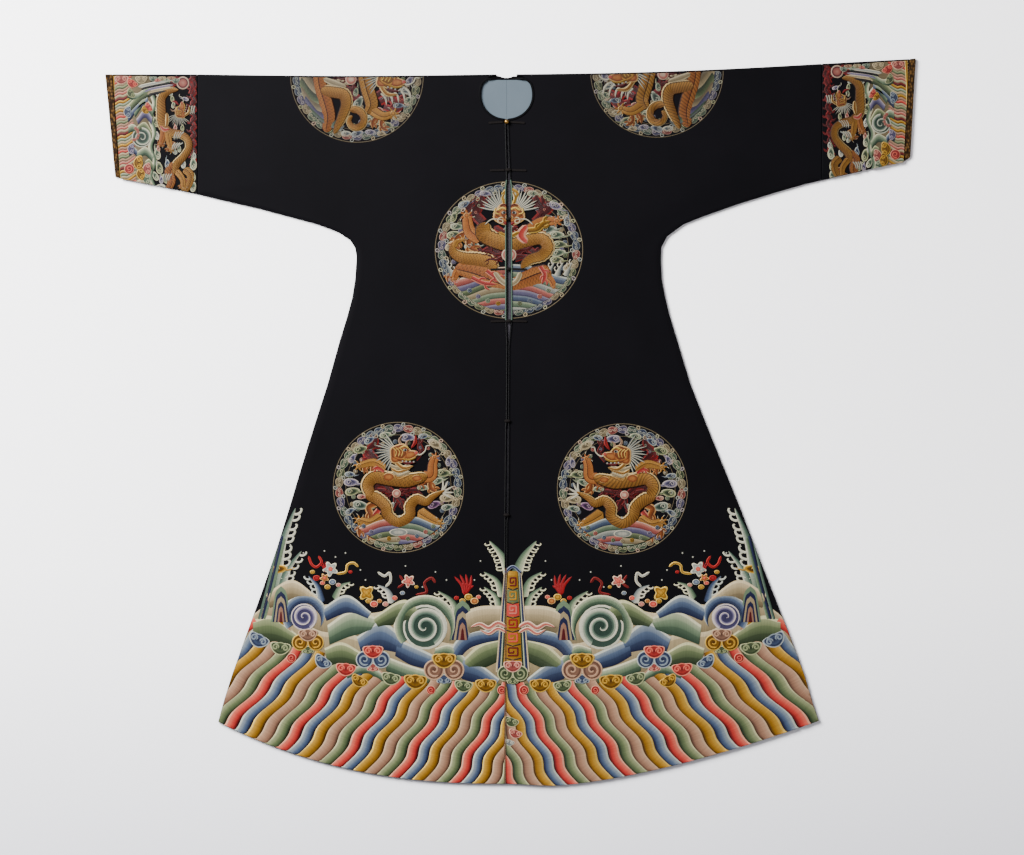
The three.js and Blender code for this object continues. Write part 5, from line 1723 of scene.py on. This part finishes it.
def cuff_drawing(pen):
    """A cuff, x from its inner seam (0) to the sleeve's end (170), y from the fold: dragon and waves."""
    cuff_ground(pen, *CUFF_GROUNDS["stripes"])
    for k in range(44):
        y = 12 - 5.8 * k
        start = 171 - 0.28 * k
        points = [(start, y - 14), (start - 12, y - 6), (start - 22, y - 6), (start - 38, y + 5)]
        palette = CUFF_STRIPE_ORDER[k % len(CUFF_STRIPE_ORDER)]
        pen.ribbon(points, 6.4, palette, STRIPED, ends="blunt", crown=0.5, layer=1)
    pen.ribbon([(168, 2), (167, -80), (161, -150), (155, -208)], 5, "gold", OUTLINED, ends="blunt", layer=6)
    cuff_ground(pen, *CUFF_GROUNDS["waves"])
    y = np.linspace(-26, -236, 90)
    x = 90 + 4 * np.cos((y + 26) * 2 * math.pi / 58)
    pen.trail(np.stack([x, y], -1), 9, "sea", ((0, 0.4, -1, -1), (0.4, 1, 0.2, 1)), layer=5)
    waves = (
        ("sea", ((140, -28), (120, -34), (100, -20)), ((140, -44), (120, -50), (98, -36))),
        ("green", ((140, -60), (116, -34), (92, -22)), ((140, -80), (116, -56), (94, -40))),
        ("blue", ((140, -78), (120, -56), (100, -42)), ((138, -94), (122, -74), (98, -56))),
        ("sea", ((128, -70), (108, -44), (90, -58)), ((124, -84), (108, -64), (92, -82))),
        ("lavender", ((122, -86), (104, -66), (90, -82)), ((118, -98), (104, -84), (92, -100))),
        ("green", ((126, -106), (106, -92), (90, -112)), ((124, -120), (108, -110), (92, -128))),
        ("sea", ((138, -100), (130, -96), (122, -100)), ((138, -116), (130, -112), (122, -114))),
        ("blue", ((138, -146), (130, -140), (120, -148)), ((136, -160), (128, -156), (120, -162))),
        ("sea", ((122, -152), (104, -142), (88, -156)), ((120, -168), (104, -160), (90, -174))),
        ("green", ((104, -170), (96, -166), (88, -176)), ((104, -186), (96, -184), (90, -192))),
        ("cream", ((128, -214), (108, -204), (90, -212)), ((128, -236), (108, -228), (90, -236))),
    )
    for palette, upper, lower in waves:
        wave(pen.at(0, 0, layer=6), upper, lower, palette)
    rolling_spiral(pen.at(111, -123, 20, 160, layer=9), "grey", 1.8)
    heads = (
        (116, -174, 15, 90, "gold"), (111, -196, 14, 80, "gold"), (99, -186, 13, 90, "pink"),
        (130, -14, 12, 30, "red"), (112, -6, 12, 0, "cream"), (152, -6, 14, 0, "pink"),
        (138, -72, 12, 90, "blue"), (131, -146, 11, 90, "lavender"), (97, -62, 10, 60, "red"),
        (104, -68, 9, 60, "gold"), (132, -34, 11, 60, "green"), (100, -206, 12, 80, "sea"),
    )
    for x, y, size, turn, palette in heads:
        cloud_head(pen.at(x, y, size, turn, layer=12), palette)
    for k, palette in enumerate(("grey", "pink", "cream", "sea", "mauve", "grey")):
        cloud_head(pen.at(88 - 9 * k, -5 - 4 * (k % 2), 8, 0, layer=7), palette)
    for k in range(7):
        angle = math.radians(110 + 28 * k)
        hook_head(pen.at(126 + 8 * math.cos(angle), -116 + 12 * math.sin(angle), 5, 30 * k, layer=11), "pink")
    hook_head(pen.at(136, -186, 15, 0, layer=12), "red")
    for k, palette in enumerate(("bone", "ink", "lavender", "cream", "ink")):
        points = [(118 - 6 * k, -22 - 5 * k), (90, -16 - 5 * k), (48, -8 - 5 * k)]
        pen.ribbon(points, (6, 7, 4), palette, OUTLINED, layer=8)
    clouds(pen.at(0, 0, layer=1), (
        (80, -156, 10, 80, "sea"), (76, -184, 11, 80, "green"), (84, -200, 9, 60, "sea"),
        (64, -206, 9, 60, "green"), (8, -176, 11, 90, "sea"), (10, -200, 10, 80, "green"),
        (8, -222, 9, 100, "sea"), (82, -118, 9, 70, "bone"), (84, -92, 9, 80, "green"),
        (82, -60, 9, 100, "sea"), (70, -48, 8, 100, "green"), (60, -176, 8, 90, "blue"),
        (74, -222, 9, 0, "bone"), (58, -230, 8, 0, "green"), (78, -36, 9, 40, "bone"),
        (28, -176, 8, 90, "bone"), (50, -46, 6, 80, "green"), (48, -58, 6, 100, "sea"),
        (56, -36, 6, 0, "grey"), (24, -46, 6, 20, "lavender"), (44, -104, 6, 90, "pink"),
        (30, -104, 6, 90, "green"), (46, -150, 7, 60, "grey"), (78, -146, 6, 90, "pink"),
        (84, -172, 7, 80, "bone"), (36, -146, 6, 90, "sea"), (72, -208, 7, 90, "lavender"),
        (6, -160, 6, 90, "bone"),
    ))
    pen = pen.at(0, 0, tone=CUFF_DRAGON_TONE)
    for k, y in enumerate(range(-14, -170, -17)):
        fire = [(14, y - 14), (5, y - 2), (11, y + 10), (6, y + 20)]
        flame(pen.at(0, 0, layer=1), fire, 10, ("flame", "coral")[k % 2])
    flame(pen.at(0, 0, layer=2), [(52, -30), (50, -16), (40, -10), (44, 0)], 14, "coral")
    flame(pen.at(0, 0, layer=2), [(14, -36), (10, -22), (16, -12), (8, 0)], 12, "coral")
    body(pen, [(44, -176), (56, -192), (52, -212), (62, -234)], (20, 21, 18, 12), "orange", BELLIED, layer=3)
    body(pen, [(26, -186), (14, -198), (16, -216), (26, -234)], (18, 17, 15, 10), "ochre", BELLIED, layer=3)
    line = [
        (38, -28), (56, -30), (71, -44), (72, -70), (70, -96), (56, -112),
        (36, -116), (20, -126), (17, -144), (28, -162), (42, -178), (46, -196),
    ]
    body(pen, line, (9, 15, 18, 20, 20, 18, 16, 15, 15, 16, 18, 14), "ochre", SPINED, layer=5, bumps=50)
    pen.ribbon([(61, -74), (60, -88), (62, -102)], (5, 9, 5), "ochre", OUTLINED, layer=14)
    pen.ribbon([(74, -100), (66, -108), (56, -106)], (4, 9, 5), "red", OUTLINED, layer=14)
    limb(pen, [(66, -100), (70, -122), (74, -136)], 15, 8, 200, "orange", layer=6)
    limb(pen, [(60, -110), (56, -132), (52, -148)], 15, 8, 190, "ochre", layer=6)
    limb(pen, [(44, -188), (30, -206), (28, -226)], 15, 8, 180, "ochre", layer=6)
    pen.spot(29, -14, 13, "pink", CUFF_PEARL_RINGS, layer=4)
    head_in_profile(pen.at(34, -72, 18, -80, mirror=True, layer=14), "orange")
    for x, y, turn in ((42, -112, -70), (44, -134, -60), (66, -196, -80), (20, -60, -100)):
        for k in range(4):
            lock = pen.at(x - 5 * k, y, 1, turn + 6 * k, layer=10)
            palette = ("bone", "blue")[k % 2]
            lock.ribbon([(0, 0), (8, 1), (17, -2)], 2.6, palette, LINE, ends="pointed", count=7)


def build_cuffs():
    """Both cuffs from one drawing, mirrored and turned with the sleeve's slope."""
    for side, sign in SIDE_SIGN.items():
        corners = CUFF_BANDS[side]
        (x, y), (far_x, far_y) = corners["top_in"], corners["top_out"]
        threads = Threads(lambda px, py: np.full_like(px, FRONT_FACE), keep_in_band(corners), CUFF_TONE)
        slope = math.degrees(math.atan2(far_y - y, abs(far_x - x)))
        pen = Pen(threads).at(x, y - BAND_FOLD_MARGIN, 1.0, slope * sign, mirror=sign < 0)
        cuff_drawing(pen)
        threads.build(f"{side}_cuff_embroidery")


# Piping: top, foot, width, palette, layer and tone
PIPING = (
    (600, -292, 2.0, "ink", 20, 1.0),
    (484, 204, 2.6, "grey", 23, 2.0),
    (-292, -722, 1.0, "mauve", 23, 1.8),
)
PIPING_STEP = 3.3


def build_front_edge(side):
    """Narrow piping down a front's edge, over the stitches: dark, grey on the chest, mauve on the border."""
    threads = front_threads(side, SKIRT_TONE)
    for top, foot, width, palette, layer, tone in PIPING:
        y = np.linspace(top, foot, max(40, int((top - foot) / PIPING_STEP)))
        x = centre_x(side, "front", y) + SIDE_SIGN[side] * (OPENING_MARGIN + width / 2.8)
        line = Pen(threads).at(0, 0, tone=tone)
        line.trail(np.stack([x, y], -1), width, palette, ((0, 1, 0.5, 0.8),), "blunt", layer=layer, crown=0.3)
    return threads.build(f"{side}_front_piping")


for side in SIDE_SIGN:
    build_border(side)
    build_front_edge(side)
build_skirt_roundels()
build_chest_roundel()
build_shoulder_roundels()
build_cuffs()


# ---------------------------------------------------------------- floor, lights and camera


FLOOR_HALF, FLOOR_HEIGHT = 6000.0, -0.2
# Painted shade on the floor: it darkens from 0.3 m to 0.95 m towards its near edge
FLOOR_PAINTED_SHADE = {"From Min": -0.3, "From Max": -0.95}
# Softboxes: name, place, width, power and colour, all facing the middle of the coat
SOFTBOXES = (
    ("upper left softbox", (-2.6, 2.2, 3.0), 2.2, 1100, (1.0, 0.995, 0.99)),
    ("right fill", (3.2, 0.4, 3.4), 3.0, 60, (1.0, 0.94, 0.95)),
)
SKY_COLOUR, SKY_STRENGTH = (236, 236, 244), 0.36
CAMERA_PLACE, CAMERA_LENS, CAMERA_SENSOR = (0.003, -0.011, 5.697), 100, 36


def build_floor():
    """A wide pale floor just under the coat, with painted shade that makes it a little darker towards its
    near edge.
    """
    signs = ((-1, -1), (1, -1), (1, 1), (-1, 1))
    corners = [(FLOOR_HALF * x, FLOOR_HALF * y, FLOOR_HEIGHT) for x, y in signs]
    mesh = bpy.data.meshes.new("floor")
    mesh.from_pydata((np.array(corners) * MM).tolist(), [], [(0, 1, 2, 3)])
    material, n, shader, place = new_material("pale paper floor")
    tone = n.add("ShaderNodeTexNoise", {"Vector": place, "Scale": 0.7, "Detail": 2.0}).outputs[0]
    colour = n.mix(tone, rgba(246, 246, 249), rgba(251, 251, 252))
    height = n.add("ShaderNodeSeparateXYZ", {"Vector": place}).outputs["Y"]
    # Painted shade: the floor's colour goes over to a darker grey towards its near edge
    fall = n.add("ShaderNodeMapRange", {"Value": height, **FLOOR_PAINTED_SHADE}).outputs[0]
    n.tree.links.new(n.mix(fall, colour, rgba(204, 205, 212)), shader.inputs["Base Color"])
    shader.inputs["Roughness"].default_value = 0.9
    shader.inputs["Specular IOR Level"].default_value = 0.1
    mesh.materials.append(material)
    floor = bpy.data.objects.new("floor", mesh)
    bpy.context.scene.collection.objects.link(floor)


def add_softbox(name, place, width, power, colour):
    """A square softbox that faces the middle of the coat."""
    data = bpy.data.lights.new(name, "AREA")
    data.shape, data.size, data.energy, data.color = "SQUARE", width, power, colour
    light = bpy.data.objects.new(name, data)
    light.location = place
    light.rotation_euler = Vector(place).to_track_quat("Z", "Y").to_euler()
    bpy.context.scene.collection.objects.link(light)


def build_studio():
    """Floor, softboxes, an even pale sky, and a camera straight above the coat."""
    build_floor()
    for row in SOFTBOXES:
        add_softbox(*row)
    world = bpy.data.worlds.new("studio")
    world.use_nodes = True
    sky = world.node_tree.nodes["Background"]
    sky.inputs["Color"].default_value = rgba(*SKY_COLOUR)
    sky.inputs["Strength"].default_value = SKY_STRENGTH
    bpy.context.scene.world = world
    data = bpy.data.cameras.new("above")
    data.lens, data.sensor_width = CAMERA_LENS, CAMERA_SENSOR
    camera = bpy.data.objects.new("above", data)
    camera.location = CAMERA_PLACE
    bpy.context.scene.collection.objects.link(camera)
    bpy.context.scene.camera = camera


build_studio()
